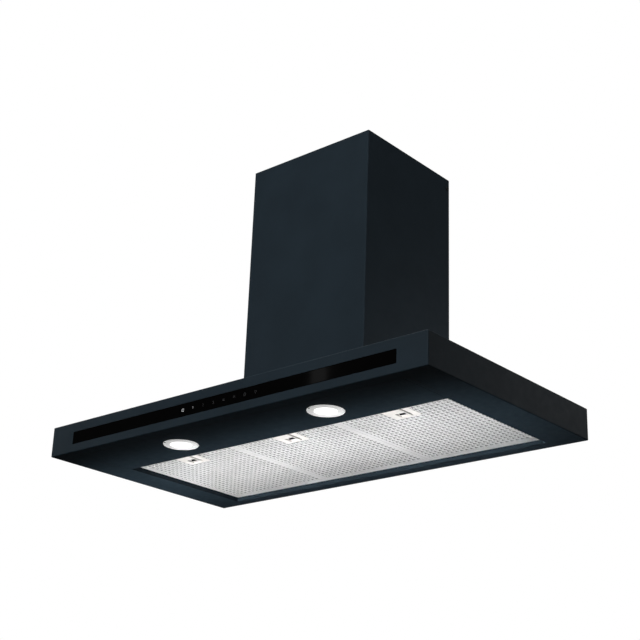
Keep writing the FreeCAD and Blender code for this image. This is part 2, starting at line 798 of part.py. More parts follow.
def blower_box():
    """The galvanised chassis: two sides, rear and top, with flanges for its fixings."""
    half = BOX_W / 2
    low = CANOPY_H
    body = box(-half, half, -BOX_D, 0, low, BOX_TOP)
    inside = box(-half + BOX_T, half - BOX_T, -BOX_D - 1, -BOX_T, low - 1, BOX_TOP - BOX_T)
    body = body.cut(inside)
    foot = box(half - BOX_T, half + BOX_LIP, -BOX_D, 0, low, low + BOX_T)
    cheek = box(half - BOX_CHEEK, half, -BOX_D, -BOX_D + BOX_T, low, BOX_TOP)
    body = fuse([body, foot, mirrored(foot), cheek, mirrored(cheek)])
    holes = [
        rod(WALL_HOLE_R, Vec(x, -BOX_T - 1, WALL_HOLE_UPPER_Z), Vec(x, 1, WALL_HOLE_UPPER_Z))
        for x in (-WALL_HOLE_UPPER_X, WALL_HOLE_UPPER_X)
    ]
    outlet = rod(DUCT_R - DUCT_T, Vec(0, DUCT_Y, BOX_TOP - 2), Vec(0, DUCT_Y, BOX_TOP + 1))
    gland = rod(GLAND_THREAD_R, Vec(GLAND_X, GLAND_Y, BOX_TOP - 2), Vec(GLAND_X, GLAND_Y, BOX_TOP + 1))
    holes += [outlet, gland]
    holes += [screw_hole(place, -Z_AXIS) for place in FLANGE_SCREWS]
    holes += [screw_hole(place, Y_AXIS) for place in COVER_SCREWS]
    return cut(body, holes)


def blower_box_front():
    half = BOX_W / 2
    cover = box(-half, half, -BOX_D - BOX_T, -BOX_D, CANOPY_H + 1, BOX_TOP)
    ribs = [
        box(-half + 30, half - 30, -BOX_D - 3, -BOX_D - BOX_T, z, z + 6) for z in COVER_RIB_Z
    ]
    cover = fuse([cover] + ribs)
    return cut(cover, [screw_hole(place, Y_AXIS) for place in COVER_SCREWS])


def volute(inset, x0, x1):
    """The scroll's outline as a prism: three growing quarter arcs, a straight rear wall and the throat."""
    half = VOLUTE_STEP / 2
    centres = [(-half, -half), (half, -half), (half, half)]
    radii = [VOLUTE_R - inset + VOLUTE_STEP * number for number in range(3)]

    def on_arc(number, degrees):
        angle = math.radians(degrees)
        across = centres[number][0] + radii[number] * math.cos(angle)
        up = centres[number][1] + radii[number] * math.sin(angle)
        return Vec(x0, FAN_Y + across, FAN_Z + up)

    edges = []
    for number in range(3):
        start = 90 + 90 * number
        points = [on_arc(number, start + step) for step in (0, 45, 90)]
        edges.append(Part.Arc(*points).toShape())
    tongue = on_arc(0, 90)
    rear = on_arc(2, 360)
    throat_rear = Vec(x0, rear.y, BOX_TOP - BOX_T)
    throat_front = Vec(x0, rear.y - THROAT_W + 2 * inset, BOX_TOP - BOX_T)
    edges.append(Part.LineSegment(rear, throat_rear).toShape())
    edges.append(Part.LineSegment(throat_rear, throat_front).toShape())
    edges.append(Part.LineSegment(throat_front, tongue).toShape())
    return Part.Face(Part.Wire(edges)).extrude(Vec(x1 - x0, 0, 0))


def scroll_half(side):
    """One half of the scroll, with a bell-shaped inlet lip in its side."""
    outer = volute(0, 0, SCROLL_HALF)
    inner = volute(SCROLL_T, -1, SCROLL_HALF - SCROLL_T)
    centre = Vec(0, FAN_Y, FAN_Z)
    lip = ring(INLET_R + 5, INLET_R, centre + X_AXIS * SCROLL_HALF, centre + X_AXIS * (SCROLL_HALF + 4))
    hole = rod(INLET_R, centre, centre + X_AXIS * (SCROLL_HALF + 5))
    half = fuse([outer.cut(inner), lip]).cut(hole)
    return half if side > 0 else mirrored(half)


def inlet_guard(side):
    """A pressed guard: three hoops on four spokes, with four legs to the scroll."""
    centre = Vec(SCROLL_HALF + GUARD_GAP, FAN_Y, FAN_Z)
    thick = X_AXIS * 2
    parts = [ring(radius + 1.5, radius - 1.5, centre, centre + thick) for radius in GUARD_HOOPS]
    for quarter in range(4):
        spoke = Part.makeBox(2, 52, 3, Vec(0, 15, -1.5))
        leg = Part.makeBox(GUARD_GAP + 2, 2.5, 6, Vec(-GUARD_GAP, 64.5, -3))
        for piece in (spoke, leg):
            piece.rotate(Vec(0, 0, 0), X_AXIS, 45 + 90 * quarter)
            piece.translate(centre)
            parts.append(piece)
    guard = fuse(parts)
    return guard if side > 0 else mirrored(guard)


def fan_blade(number):
    """One forward-curved blade, over the wheel's full length."""
    turn = 360.0 / BLADE_COUNT * number
    inner, outer = BLADE_IN_R, BLADE_OUT_R
    middle = (inner + outer) / 2
    sweep = math.radians(5.0)
    bulge = math.radians(1.2)

    def point(radius, angle):
        return Vec(-FAN_HALF, radius * math.cos(angle), radius * math.sin(angle))

    thick = math.radians(0.8)
    first = Part.Arc(point(inner, 0), point(middle, sweep / 2 - bulge), point(outer, sweep))
    second = Part.Arc(
        point(outer, sweep + thick),
        point(middle, sweep / 2 - bulge + thick),
        point(inner, thick),
    )
    ends = [
        Part.LineSegment(point(outer, sweep), point(outer, sweep + thick)),
        Part.LineSegment(point(inner, thick), point(inner, 0)),
    ]
    edges = [first.toShape(), ends[0].toShape(), second.toShape(), ends[1].toShape()]
    blade = Part.Face(Part.Wire(edges)).extrude(Vec(2 * FAN_HALF, 0, 0))
    blade.rotate(Vec(0, 0, 0), X_AXIS, turn)
    return blade


def impeller():
    """A double-inlet wheel: blades through a middle disc, two end rings and a hub."""
    disc = rod(FAN_R, X_AXIS * -1.2, X_AXIS * 1.2)
    hub = rod(11.0, X_AXIS * -4, X_AXIS * 14)
    end = ring(FAN_R, BLADE_IN_R - 1, X_AXIS * (FAN_HALF - 2), X_AXIS * FAN_HALF)
    far_end = mirrored(end)
    wheel = fuse([disc, hub, end, far_end] + [fan_blade(number) for number in range(BLADE_COUNT)])
    wheel = wheel.cut(rod(SHAFT_R, X_AXIS * -10, X_AXIS * 20))
    wheel.translate(Vec(0, FAN_Y, FAN_Z))
    return wheel


def motor_shaft():
    centre = Vec(0, FAN_Y, FAN_Z)
    shaft = rod(SHAFT_R, centre + X_AXIS * (MOTOR_LEFT - 4), centre + X_AXIS * 17)
    return shaft


def motor():
    """The motor case: a laminated middle between two domed end shields."""
    centre = Vec(0, FAN_Y, FAN_Z)
    left, right = centre + X_AXIS * MOTOR_LEFT, centre + X_AXIS * MOTOR_RIGHT
    middle_left, middle_right = left + X_AXIS * SHIELD_D, right - X_AXIS * SHIELD_D
    middle = rod(MOTOR_R, middle_left, middle_right)
    left_shield = rod(MOTOR_R - 3, left, middle_left)
    right_shield = rod(MOTOR_R - 3, middle_right, right)
    left_shield = rounded(left_shield, 5.0, lambda c: abs(c.x - MOTOR_LEFT) < 0.1)
    right_shield = rounded(right_shield, 5.0, lambda c: abs(c.x - MOTOR_RIGHT) < 0.1)
    case = fuse([middle, left_shield, right_shield])
    return case.cut(rod(SHAFT_R + 0.06, left - X_AXIS, right + X_AXIS))


def motor_mount():
    """A three-armed spider across the left inlet, with three posts to the motor."""
    centre = Vec(MOUNT_X, FAN_Y, FAN_Z)
    thick = X_AXIS * MOUNT_T
    pieces = [ring(INLET_R + 5, INLET_R, centre, centre + thick)]
    pieces.append(ring(POST_CIRCLE_R + 5, POST_CIRCLE_R - 5, centre, centre + thick))
    for arm in range(MOUNT_ARMS):
        turn = 90 + 360 / MOUNT_ARMS * arm
        out = Vec(0, math.cos(math.radians(turn)), math.sin(math.radians(turn)))
        bar = Part.makeBox(MOUNT_T, INLET_R - 27, 9, Vec(0, POST_CIRCLE_R + 3, -4.5))
        bar.rotate(Vec(0, 0, 0), X_AXIS, turn)
        bar.translate(centre)
        post = centre + out * POST_CIRCLE_R
        pieces += [bar, rod(POST_R, post, Vec(MOTOR_LEFT, post.y, post.z))]
    return fuse(pieces)


def capacitor():
    """The run capacitor, upright on the chassis wall."""
    wall = -BOX_W / 2 + BOX_T
    x = wall + CAP_R + 1
    can = rod(CAP_R, Vec(x, CAP_Y, CAP_BASE), Vec(x, CAP_Y, CAP_TOP))
    can = rounded(can, 2.0, lambda c: c.z < CAP_BASE + 1)
    terminal = rod(6.0, Vec(x, CAP_Y, CAP_TOP), Vec(x, CAP_Y, CAP_TOP + 6))
    clamp = box(wall, x, CAP_Y - 10, CAP_Y + 10, CAP_BASE + 20, CAP_BASE + 32)
    return fuse([can, terminal, clamp])


def cable_gland():
    """The supply inlet: a gland in the chassis top, with a bore for the mains lead."""
    base = Vec(GLAND_X, GLAND_Y, BOX_TOP)
    flange = rod(GLAND_FLANGE_R, base, base + Z_AXIS * 4)
    neck = rod(GLAND_NECK_R, base + Z_AXIS * 4, base + Z_AXIS * 14)
    below = rod(GLAND_THREAD_R, base - Z_AXIS * 8, base)
    return fuse([flange, neck, below]).cut(rod(GLAND_R, base - Z_AXIS * 9, base + Z_AXIS * 15))


def duct_collar():
    """The round spigot on its flange, with a ledge inside for the flaps."""
    base = Vec(0, DUCT_Y, BOX_TOP)
    top = base + Z_AXIS * DUCT_H
    wall = ring(DUCT_R, DUCT_R - DUCT_T, base, top)
    flange = ring(DUCT_R + DUCT_FLANGE_W, DUCT_R - DUCT_T, base, base + Z_AXIS * 1.5)
    ledge_top = Vec(0, DUCT_Y, FLAP_Z - FLAP_T / 2 - 0.5)
    ledge = ring(DUCT_R, DUCT_R - LEDGE_W, ledge_top - Z_AXIS * LEDGE_T, ledge_top)
    inner = DUCT_R - DUCT_T
    front, rear = DUCT_Y - LEDGE_NOTCH, DUCT_Y + LEDGE_NOTCH
    notch = box(-inner, inner, front, rear, BOX_TOP + 2, FLAP_Z)
    collar = fuse([wall, flange, ledge.cut(notch)])
    pin_holes = []
    for side in (-1, 1):
        y = DUCT_Y + side * FLAP_PIN_Y
        start, end = Vec(-DUCT_R - 1, y, FLAP_Z), Vec(DUCT_R + 1, y, FLAP_Z)
        pin_holes.append(rod(FLAP_PIN_R + 0.08, start, end))
    return cut(collar, pin_holes)


def duct_flap(side):
    """A half disc on its own pin, at the front (-1) or rear (1) of the spigot."""
    middle = Vec(0, DUCT_Y, FLAP_Z - FLAP_T / 2)
    disc = rod(DUCT_R - DUCT_T - 1.2, middle, middle + Z_AXIS * FLAP_T)
    pin_y = DUCT_Y + side * FLAP_PIN_Y
    far_y = DUCT_Y + side * (DUCT_R + 5)
    keep = box(-DUCT_R, DUCT_R, min(pin_y, far_y), max(pin_y, far_y), FLAP_Z - 5, FLAP_Z + 5)
    reach = DUCT_R - 0.4
    pin = rod(FLAP_PIN_R, Vec(-reach, pin_y, FLAP_Z), Vec(reach, pin_y, FLAP_Z))
    rib_ends = sorted((pin_y + side * 9, pin_y + side * 60))
    ribs = [box(x - 1, x + 1, *rib_ends, FLAP_Z, FLAP_Z + FLAP_RIB_H) for x in FLAP_RIB_X]
    return fuse([disc.common(keep), pin] + ribs)


def chimney_lower():
    """The outer section: a front and two sides, open to the wall."""
    half = CHIM_W / 2
    body = box(-half, half, -CHIM_D, 0, CANOPY_H, CHIM_TOP)
    upright = (CANOPY_H + CHIM_TOP) / 2
    body = rounded(body, EDGE_R, lambda c: c.y < -CHIM_D + 1 and abs(c.z - upright) < 1)
    inside = box(-half + CHIM_T, half - CHIM_T, -CHIM_D + CHIM_T, 1, CANOPY_H - 1, CHIM_TOP + 1)
    return cut(body, [inside] + [screw_hole(place, way) for place, way in CHIM_SCREWS])


def rivet_holes():
    return rod(RIVET_R, Vec(-CHIM_W / 2, RIVET_Y, UPPER_FIX_Z), Vec(CHIM_W / 2, RIVET_Y, UPPER_FIX_Z))


def chimney_upper():
    """The telescopic section, with returns at the wall and vent slots near its top."""
    half = CHIM_W / 2 - CHIM_T - UPPER_INSET
    front = -CHIM_D + CHIM_T + UPPER_INSET
    body = box(-half, half, front, UPPER_REAR, UPPER_BOTTOM, UPPER_TOP)
    upright = (UPPER_BOTTOM + UPPER_TOP) / 2
    body = rounded(body, EDGE_R, lambda c: c.y < front + 1 and abs(c.z - upright) < 1)
    low, high = UPPER_BOTTOM - 1, UPPER_TOP + 1
    inner = half - CHIM_T
    inside = box(-inner, inner, front + CHIM_T, UPPER_REAR - CHIM_T, low, high)
    throat = half - UPPER_RETURN
    mouth = box(-throat, throat, UPPER_REAR - 2 * CHIM_T, UPPER_REAR + 1, low, high)
    slots = []
    for number in range(SLOT_COUNT):
        z = UPPER_TOP - 30 - SLOT_PITCH * number
        slots.append(box(-half - 1, half + 1, SLOT_FRONT, SLOT_FRONT + SLOT_LENGTH, z, z + 4))
    return cut(body, [inside, mouth, rivet_holes()] + slots)


def chimney_upper_bracket():
    """The strip that fastens the upper section to the wall, with an ear at each side."""
    half = CHIM_W / 2 - 2 * CHIM_T - UPPER_INSET
    z0, z1 = UPPER_FIX_Z - 10, UPPER_FIX_Z + 10
    rear = UPPER_REAR - CHIM_T
    strip = box(-half, half, rear - SHEET, rear, z0, z1)
    ear = box(half - SHEET, half, rear - EAR_D, rear, z0, z1)
    bracket = fuse([strip, ear, mirrored(ear)])
    holes = [
        rod(BRACKET_HOLE_R, Vec(x, rear - 3, UPPER_FIX_Z), Vec(x, rear + 1, UPPER_FIX_Z))
        for x in (-BRACKET_HOLE_X, BRACKET_HOLE_X)
    ]
    return cut(bracket, holes + [rivet_holes()])


def upper_rivets():
    """Flush rivets that hold the bracket in the upper section."""
    outer = CHIM_W / 2 - CHIM_T - UPPER_INSET
    inner = outer - CHIM_T - SHEET
    shank = rod(RIVET_R, Vec(inner, RIVET_Y, UPPER_FIX_Z), Vec(outer, RIVET_Y, UPPER_FIX_Z))
    back = Vec(inner - RIVET_HEAD_H, RIVET_Y, UPPER_FIX_Z)
    head = rod(RIVET_HEAD_R, back, Vec(inner, RIVET_Y, UPPER_FIX_Z))
    rivet = fuse([shank, head])
    return [rivet, mirrored(rivet)]


def chimney_lower_bracket():
    """The wall strip behind the chimney, with an ear inside each side of the outer section."""
    ear_x = CHIM_W / 2 - CHIM_T - EAR_GAP
    z0, z1 = BRACKET_Z - BRACKET_H / 2, BRACKET_Z + BRACKET_H / 2
    strip = box(-ear_x, ear_x, -1.0, 0, z0, z1)
    ear = box(ear_x - 1.5, ear_x, -14, 0, z0 + 5, z1 - 5)
    bracket = fuse([strip, ear, mirrored(ear)])
    holes = [
        rod(BRACKET_HOLE_R, Vec(x, -3, BRACKET_Z), Vec(x, 1, BRACKET_Z))
        for x in (-BRACKET_HOLE_X, BRACKET_HOLE_X)
    ]
    holes += [screw_hole(place, way) for place, way in CHIM_SCREWS]
    return cut(bracket, holes)


def chimney_guides():
    """Two angles on the canopy's top that place the chimney and carry the upper section."""
    out_x = CHIM_W / 2 - CHIM_T - EAR_GAP
    base = CANOPY_H
    upright = box(out_x - GUIDE_T, out_x, GUIDE_FRONT, GUIDE_REAR, base, base + GUIDE_H)
    shelf = box(out_x - SHELF_W, out_x, GUIDE_FRONT, GUIDE_REAR, base, base + SHELF_T)
    guide = fuse([upright, shelf])
    return [guide, mirrored(guide)]


def sheet_screws():
    """Every small sheet-metal screw, and the two short ones in the chimney's sides."""
    screws = [screw(place, -Y_AXIS) for place in PANEL_SCREWS]
    screws += [screw(place, -Z_AXIS) for place in FLANGE_SCREWS]
    screws += [screw(place, Y_AXIS) for place in COVER_SCREWS]
    for place, way in CHIM_SCREWS:
        head = rod(SCREW_HEAD_R, place - way * 0.9, place)
        shank = rod(SCREW_R, place, place + way * (CHIM_T + 1.7))
        slot = rod(1.2, place - way * 0.9, place - way * 0.3)
        screws.append(fuse([head, shank]).cut(slot))
    return screws


def lamp_leads():
    """Leads from each lamp to the driver."""
    z = 14.0
    y = DIVIDER_Y - 8
    left = [
        Vec(-LAMP_X + LAMP_CUP_R, LAMP_Y, z),
        Vec(-LAMP_X + 48, LAMP_Y, z),
        Vec(-LAMP_X + 60, LAMP_Y + 24, z + 1),
        Vec(-LAMP_X + 82, y - 1, z + 2),
        Vec(-45, y, z + 4),
        Vec(0, y - 1, z + 4),
        Vec(50, y, z + 3),
        Vec(100, y - 0.5, z + 2),
        Vec(150, y + 0.5, z + 1),
        Vec(196, y, z + 1),
        Vec(228, y - 3, z),
        Vec(DRIVER_LEFT + 12, DRIVER_REAR + 19, z),
        Vec(DRIVER_LEFT + 16, DRIVER_REAR + 8, z),
        Vec(DRIVER_LEFT + 16, DRIVER_REAR, z),
    ]
    right = [
        Vec(LAMP_X + LAMP_CUP_R, LAMP_Y, z),
        Vec(LAMP_X + 40, LAMP_Y, z),
        Vec(DRIVER_LEFT - 11, LAMP_Y - 8, z),
        Vec(DRIVER_LEFT, LAMP_Y - 8, z),
    ]
    return [lead(left, LEAD_R), lead(right, LEAD_R)]


def motor_lead():
    """The lead from the motor, down past the scroll and through the divider to the board."""
    route = [
        Vec(MOTOR_LEFT, FAN_Y - 14, FAN_Z - 25),
        Vec(MOTOR_LEFT - 8, FAN_Y - 14, FAN_Z - 25),
        Vec(MOUNT_X - 1, FAN_Y - 20, FAN_Z - 39),
        Vec(MOUNT_X - 5, FAN_Y - 28, FAN_Z - 56),
        Vec(MOUNT_X - 5, FAN_Y - 38, FAN_Z - 78),
        Vec(MOUNT_X - 2, FAN_Y - 56, FAN_Z - 112),
        Vec(-74, FAN_Y - 90, 44),
        Vec(LEAD_PASS_X, FAN_Y - 150, LEAD_PASS_Z),
        Vec(LEAD_PASS_X, TRAY_REAR - TRAY_T, LEAD_PASS_Z),
    ]
    return lead(route, MOTOR_LEAD_R)


def save(node, solids):
    """Writes one node, after checking that each of its solids is closed and valid."""
    solids = solids if isinstance(solids, list) else [solids]
    for solid in solids:
        if not solid.isValid() or solid.Volume <= 0:
            raise ValueError("bad solid in " + node)
    shape = solids[0] if len(solids) == 1 else Part.makeCompound(solids)
    shape.exportStep("parts/" + node + ".step")


def build_canopy():
    save("canopy_shell", canopy_shell())
    save("canopy_back", canopy_back())
    save("light_panel", light_panel())
    save("service_divider", service_divider())
    save("control_glass", control_glass())
    save("touch_carrier", touch_carrier())
    save("touch_board", touch_board())


def build_lamps():
    for side, x in (("left", -LAMP_X), ("right", LAMP_X)):
        save("lamp_%s_ring" % side, lamp_ring(x))
        save("lamp_%s_lens" % side, lamp_lens(x))
        save("lamp_%s_body" % side, lamp_body(x))
    save("lamp_boards", lamp_board(-LAMP_X) + lamp_board(LAMP_X))
    save("lamp_clips", [lamp_clip(x, side) for x in (-LAMP_X, LAMP_X) for side in (-1, 1)])


def build_electronics():
    save("led_driver", led_driver())
    save("control_tray", control_tray())
    save("control_cover", control_cover())
    save("main_board", main_board())
    save("terminal_block", terminal_block())
    save("lamp_leads", lamp_leads())
    save("motor_lead", motor_lead())
    save("cable_gland", cable_gland())


def build_filters():
    for number, side in enumerate(("left", "middle", "right")):
        x = (number - (FILTER_COUNT - 1) / 2) * FILTER_PITCH
        save("filter_%s_frame" % side, filter_frame(x))
        save("filter_%s_grille" % side, filter_grille(x))
        save("filter_%s_mesh" % side, filter_mesh(x))
        save("filter_%s_latch_case" % side, latch_case(x))
        save("filter_%s_latch_slide" % side, latch_slide(x))
        save("filter_%s_latch_spring" % side, latch_spring(x))


def build_blower():
    save("blower_box", blower_box())
    save("blower_box_front", blower_box_front())
    save("scroll_left", scroll_half(-1))
    save("scroll_right", scroll_half(1))
    save("inlet_guards", [inlet_guard(-1), inlet_guard(1)])
    save("impeller", impeller())
    save("motor_shaft", motor_shaft())
    save("motor", motor())
    save("motor_mount", motor_mount())
    save("capacitor", capacitor())
    save("duct_collar", duct_collar())
    save("flap_front", duct_flap(-1))
    save("flap_rear", duct_flap(1))


def build_chimney():
    save("chimney_lower", chimney_lower())
    save("chimney_upper", chimney_upper())
    save("chimney_lower_bracket", chimney_lower_bracket())
    save("chimney_upper_bracket", [chimney_upper_bracket()] + upper_rivets())
    save("chimney_guides", chimney_guides())
    save("sheet_screws", sheet_screws())


os.makedirs("parts", exist_ok=True)
build_canopy()
build_lamps()
build_electronics()
build_filters()
build_blower()
build_chimney()
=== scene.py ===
import json
import math

import bmesh
import bpy
from mathutils import Matrix, Vector


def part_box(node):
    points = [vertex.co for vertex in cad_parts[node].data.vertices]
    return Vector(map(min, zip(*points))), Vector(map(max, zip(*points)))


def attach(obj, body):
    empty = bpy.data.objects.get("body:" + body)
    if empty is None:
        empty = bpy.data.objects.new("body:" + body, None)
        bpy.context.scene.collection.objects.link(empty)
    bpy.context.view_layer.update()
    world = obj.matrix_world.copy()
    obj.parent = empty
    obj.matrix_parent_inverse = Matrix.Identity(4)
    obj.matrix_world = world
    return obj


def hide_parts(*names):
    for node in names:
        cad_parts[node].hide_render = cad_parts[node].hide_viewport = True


# The looks of a wall-mounted range hood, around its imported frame. Everything is in metres.
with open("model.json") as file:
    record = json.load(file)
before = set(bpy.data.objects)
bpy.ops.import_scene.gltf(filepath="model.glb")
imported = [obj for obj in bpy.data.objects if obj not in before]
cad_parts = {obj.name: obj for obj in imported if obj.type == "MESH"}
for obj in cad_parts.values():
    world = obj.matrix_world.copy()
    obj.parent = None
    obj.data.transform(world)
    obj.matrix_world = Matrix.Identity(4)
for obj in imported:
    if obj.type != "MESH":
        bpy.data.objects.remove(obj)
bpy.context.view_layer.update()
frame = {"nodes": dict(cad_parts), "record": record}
MM = 0.001
SIDES = ("left", "middle", "right")

# --- camera, which stands below the hood and looks up at its front and right side ---
CAMERA_AZIMUTH = math.radians(41.38)
CAMERA_ELEVATION = math.radians(-21.86)
CAMERA_ROLL = math.radians(2.11)
CAMERA_TARGET = Vector((0.0186, -0.2376, 0.2528))
CAMERA_DISTANCE = 2.593
CAMERA_LENS_MM = 76.5
CAMERA_SENSOR_MM = 36.0

# --- studio ---
FLOOR_Z = -3.0
FLOOR_HALF = 9.0
WORLD_SEEN = 1.0  # what the camera sees behind the hood
WORLD_ABOVE = 0.12  # what lights the hood from above
WORLD_BELOW = 0.03  # and from below
SKY_FADE_FROM = 0.6  # the sky goes from one to the other between these, as the Z of its direction
SKY_FADE_TO = 0.9

# --- how strongly lit surfaces glow ---
LENS_GLOW = 1.7
# the bezel's glow is painted light, standing in for the lens's light spilling onto the ring
BEZEL_PAINTED_GLOW = 0.34
SYMBOL_GLOW = 0.6
FAINT_GLOW = 0.02
FLOOR_GLOW = 0.55

# --- filter sheets ---
CELL = 11.0 * MM  # lattice pitch
HOLE_R = 3.6 * MM
PILLOW_H = 1.9 * MM
SHEET_IN = 0.2 * MM  # the pillows' tops stand this far in from the CAD sheet's face
SHEET_T = 0.12 * MM
RIPPLE = 2.8 * MM  # pitch of the grease mesh's ripples
RIPPLE_H = 0.5 * MM
RIPPLE_STEPS = 6
HOLE_SIDES = 16
CELL_RINGS = 5
COARSE_SIDES = 8  # of the upper sheet, which is seen only with its filter down
COARSE_RINGS = 2
WELD = 0.02 * MM  # points nearer than this are joined

# --- painted shade: dark strips in the grooves of each latch plate, and dark pads in its finger hole, standing in for the shade there ---
GROOVE_SHADE_X = 14.0 * MM
GROOVE_SHADE_START = 1.5 * MM  # behind the plate's front edge
GROOVE_SHADE_SHORT = 14.0 * MM  # how much shorter than the plate a dark strip is
GROOVE_SHADE_W = 1.7 * MM
GROOVE_SHADE_T = 0.6 * MM
GROOVE_SHADE_UP = 2.2 * MM  # from the latch case's lowest point
FINGER_SHADE_PADS = (  # each pad's centre, from the middle of the slide's rear lower edge, and its size
    ((0.0, -7.06 * MM, 2.1 * MM), (14.4 * MM, 0.1 * MM, 3.6 * MM)),
    ((0.0, -5.06 * MM, 5.7 * MM), (16.0 * MM, 0.1 * MM, 3.0 * MM)),
    ((-8.24 * MM, -11.0 * MM, 5.3 * MM), (0.1 * MM, 11.0 * MM, 4.0 * MM)),
)

# --- painted shade: a dark line in the gap around the light panel ---
GAP_SHADE_W = 1.1 * MM
GAP_SHADE_T = 0.2 * MM

# --- painted shadow: a dark bar in the notch of each lamp's ring ---
PRY_TURN = math.radians(-23.0)
PRY_IN = 1.5 * MM  # from the ring's outside to the notch's middle
PRY_UP = 0.5 * MM  # from the ring's lowest point
PRY_W = 6.4 * MM
PRY_D = 2.0 * MM
PRY_T = 0.4 * MM

# --- touch glass and its symbols ---
GLASS_BEVEL = 0.6 * MM
KEY_PITCH = 25.2 * MM
KEY_COUNT = 8
STROKE_W = 0.36 * MM
SYMBOL_SCALE = 0.88
PRINT_T = 0.06 * MM

LIGHTS = (  # name, place, target, width, height, watts, spread in degrees
    ("front_softbox", (0.4, -3.2, 0.9), (0.0, -0.3, 0.35), 1.4, 1.2, 66.0, 180.0),
    ("right_softbox", (2.6, 0.7, 0.6), (0.2, -0.2, 0.25), 0.8, 0.8, 3.0, 180.0),
    ("rear_right_softbox", (1.2, 1.6, 0.8), (0.15, -0.13, 0.30), 0.5, 0.5, 2.8, 180.0),
    ("right_glow", (0.42, -0.06, 0.17), (0.15, -0.10, 0.14), 0.10, 0.10, 0.10, 180.0),
    ("under_softbox", (-0.05, -0.22, -0.60), (-0.05, -0.22, 0.0), 0.80, 0.10, 0.40, 64.0),
    ("filter_skimmer", (-0.05, -0.95, -0.55), (-0.05, -0.18, 0.0), 1.00, 0.04, 1.35, 22.0),
    ("top_softbox", (0.0, 0.0, 3.4), (0.0, 0.0, 0.0), 3.0, 3.0, 160.0, 180.0),
    ("back_softbox", (-1.2, 3.2, 0.9), (0.0, 0.0, 0.3), 2.0, 2.0, 80.0, 180.0),
    ("left_softbox", (-3.0, -0.4, 0.9), (0.0, -0.2, 0.2), 1.2, 1.2, 30.0, 180.0),
    ("strip_light", (-1.015, -1.89, 0.70), (0.23, -0.475, 0.03), 0.05, 0.6, 0.025, 180.0),
)


# ---------------------------------------------------------------- shader helpers

class Shader:
    """A Principled material, with short calls for the procedural nodes that feed it."""

    def __init__(self, name, **settings):
        self.material = bpy.data.materials.new(name)
        self.material.use_nodes = True
        self.tree = self.material.node_tree
        self.surface = self.tree.nodes["Principled BSDF"]
        for socket, value in settings.items():
            self.surface.inputs[socket.replace("_", " ")].default_value = value
        self.place = self.node("ShaderNodeTexCoord").outputs["Object"]

    def node(self, kind):
        return self.tree.nodes.new(kind)

    def link(self, source, target):
        self.tree.links.new(source, target)

    def stretched(self, x, y, z):
        """Object coordinates scaled by a factor along each axis."""
        mapping = self.node("ShaderNodeMapping")
        mapping.inputs["Scale"].default_value = (x, y, z)
        self.link(self.place, mapping.inputs["Vector"])
        return mapping.outputs["Vector"]

    def noise(self, size, detail=2.0, place=None):
        """Smooth noise whose features are about size metres across."""
        texture = self.node("ShaderNodeTexNoise")
        texture.inputs["Scale"].default_value = 1.0 / size
        texture.inputs["Detail"].default_value = detail
        self.link(place or self.place, texture.inputs["Vector"])
        return texture.outputs["Fac"]

    def cells(self, size, output="Color", place=None, feature="F1"):
        """Voronoi cells about size metres across."""
        texture = self.node("ShaderNodeTexVoronoi")
        texture.feature = feature
        texture.inputs["Scale"].default_value = 1.0 / size
        self.link(place or self.place, texture.inputs["Vector"])
        return texture.outputs[output]

    def waves(self, size):
        """Bands across X, each about size metres wide."""
        texture = self.node("ShaderNodeTexWave")
        texture.inputs["Scale"].default_value = 1.0 / (size * 20.0 / math.pi)
        self.link(self.place, texture.inputs["Vector"])
        return texture.outputs["Fac"]

    def ramp(self, value, *stops):
        """Maps a value through (position, colour or grey) stops."""
        ramp = self.node("ShaderNodeValToRGB")
        elements = ramp.color_ramp.elements
        while len(elements) < len(stops):
            elements.new(0.5)
        for element, (position, colour) in zip(elements, stops):
            element.position = position
            grey = isinstance(colour, (int, float))
            element.color = (colour, colour, colour, 1.0) if grey else (*colour, 1.0)
        self.link(value, ramp.inputs["Fac"])
        return ramp.outputs["Color"]

    def mix(self, factor, first, second, blend="MIX"):
        """Blends two colours. Each input is a socket or a plain value."""
        mixer = self.node("ShaderNodeMix")
        mixer.data_type = "RGBA"
        mixer.blend_type = blend
        inputs = [socket for socket in mixer.inputs if socket.type == "RGBA"]
        for socket, value in ((mixer.inputs["Factor"], factor), (inputs[0], first), (inputs[1], second)):
            if isinstance(value, bpy.types.NodeSocket):
                self.link(value, socket)
            else:
                socket.default_value = value
        return next(out for out in mixer.outputs if out.type == "RGBA")

    def colour(self, value):
        self.link(value, self.surface.inputs["Base Color"])

    def rough(self, value, low, high):
        """Roughness between low and high, as a value goes from 0.3 to 0.7."""
        self.link(self.ramp(value, (0.3, low), (0.7, high)), self.surface.inputs["Roughness"])

    def bump(self, *layers):
        """Stacks (height, distance in metres) layers of surface relief."""
        normal = None
        for height, distance in layers:
            bump = self.node("ShaderNodeBump")
            bump.inputs["Strength"].default_value = 1.0
            bump.inputs["Distance"].default_value = distance
            self.link(height, bump.inputs["Height"])
            if normal is not None:
                self.link(normal, bump.inputs["Normal"])
            normal = bump.outputs["Normal"]
        self.link(normal, self.surface.inputs["Normal"])


def scaled(colour, factor):
    return tuple(channel * factor for channel in colour)


# ---------------------------------------------------------------- materials

def powder_coat(name, colour):
    """Satin slate paint: a fine orange peel, and faint clouds in colour and gloss."""
    shader = Shader(name, Specular_IOR_Level=0.06)
    cloud = shader.noise(90 * MM, 3.0)
    fleck = shader.noise(0.9 * MM, 2.0)
    tone = shader.ramp(cloud, (0.35, scaled(colour, 0.93)), (0.65, scaled(colour, 1.07)))
    flecked = shader.ramp(fleck, (0.42, 0.93), (0.62, 1.0))
    shader.colour(shader.mix(1.0, tone, flecked, "MULTIPLY"))
    shader.rough(shader.noise(14 * MM, 4.0), 0.46, 0.53)
    shader.bump((shader.noise(1.3 * MM, 2.0), 0.035 * MM), (fleck, 0.012 * MM))
    return shader.material


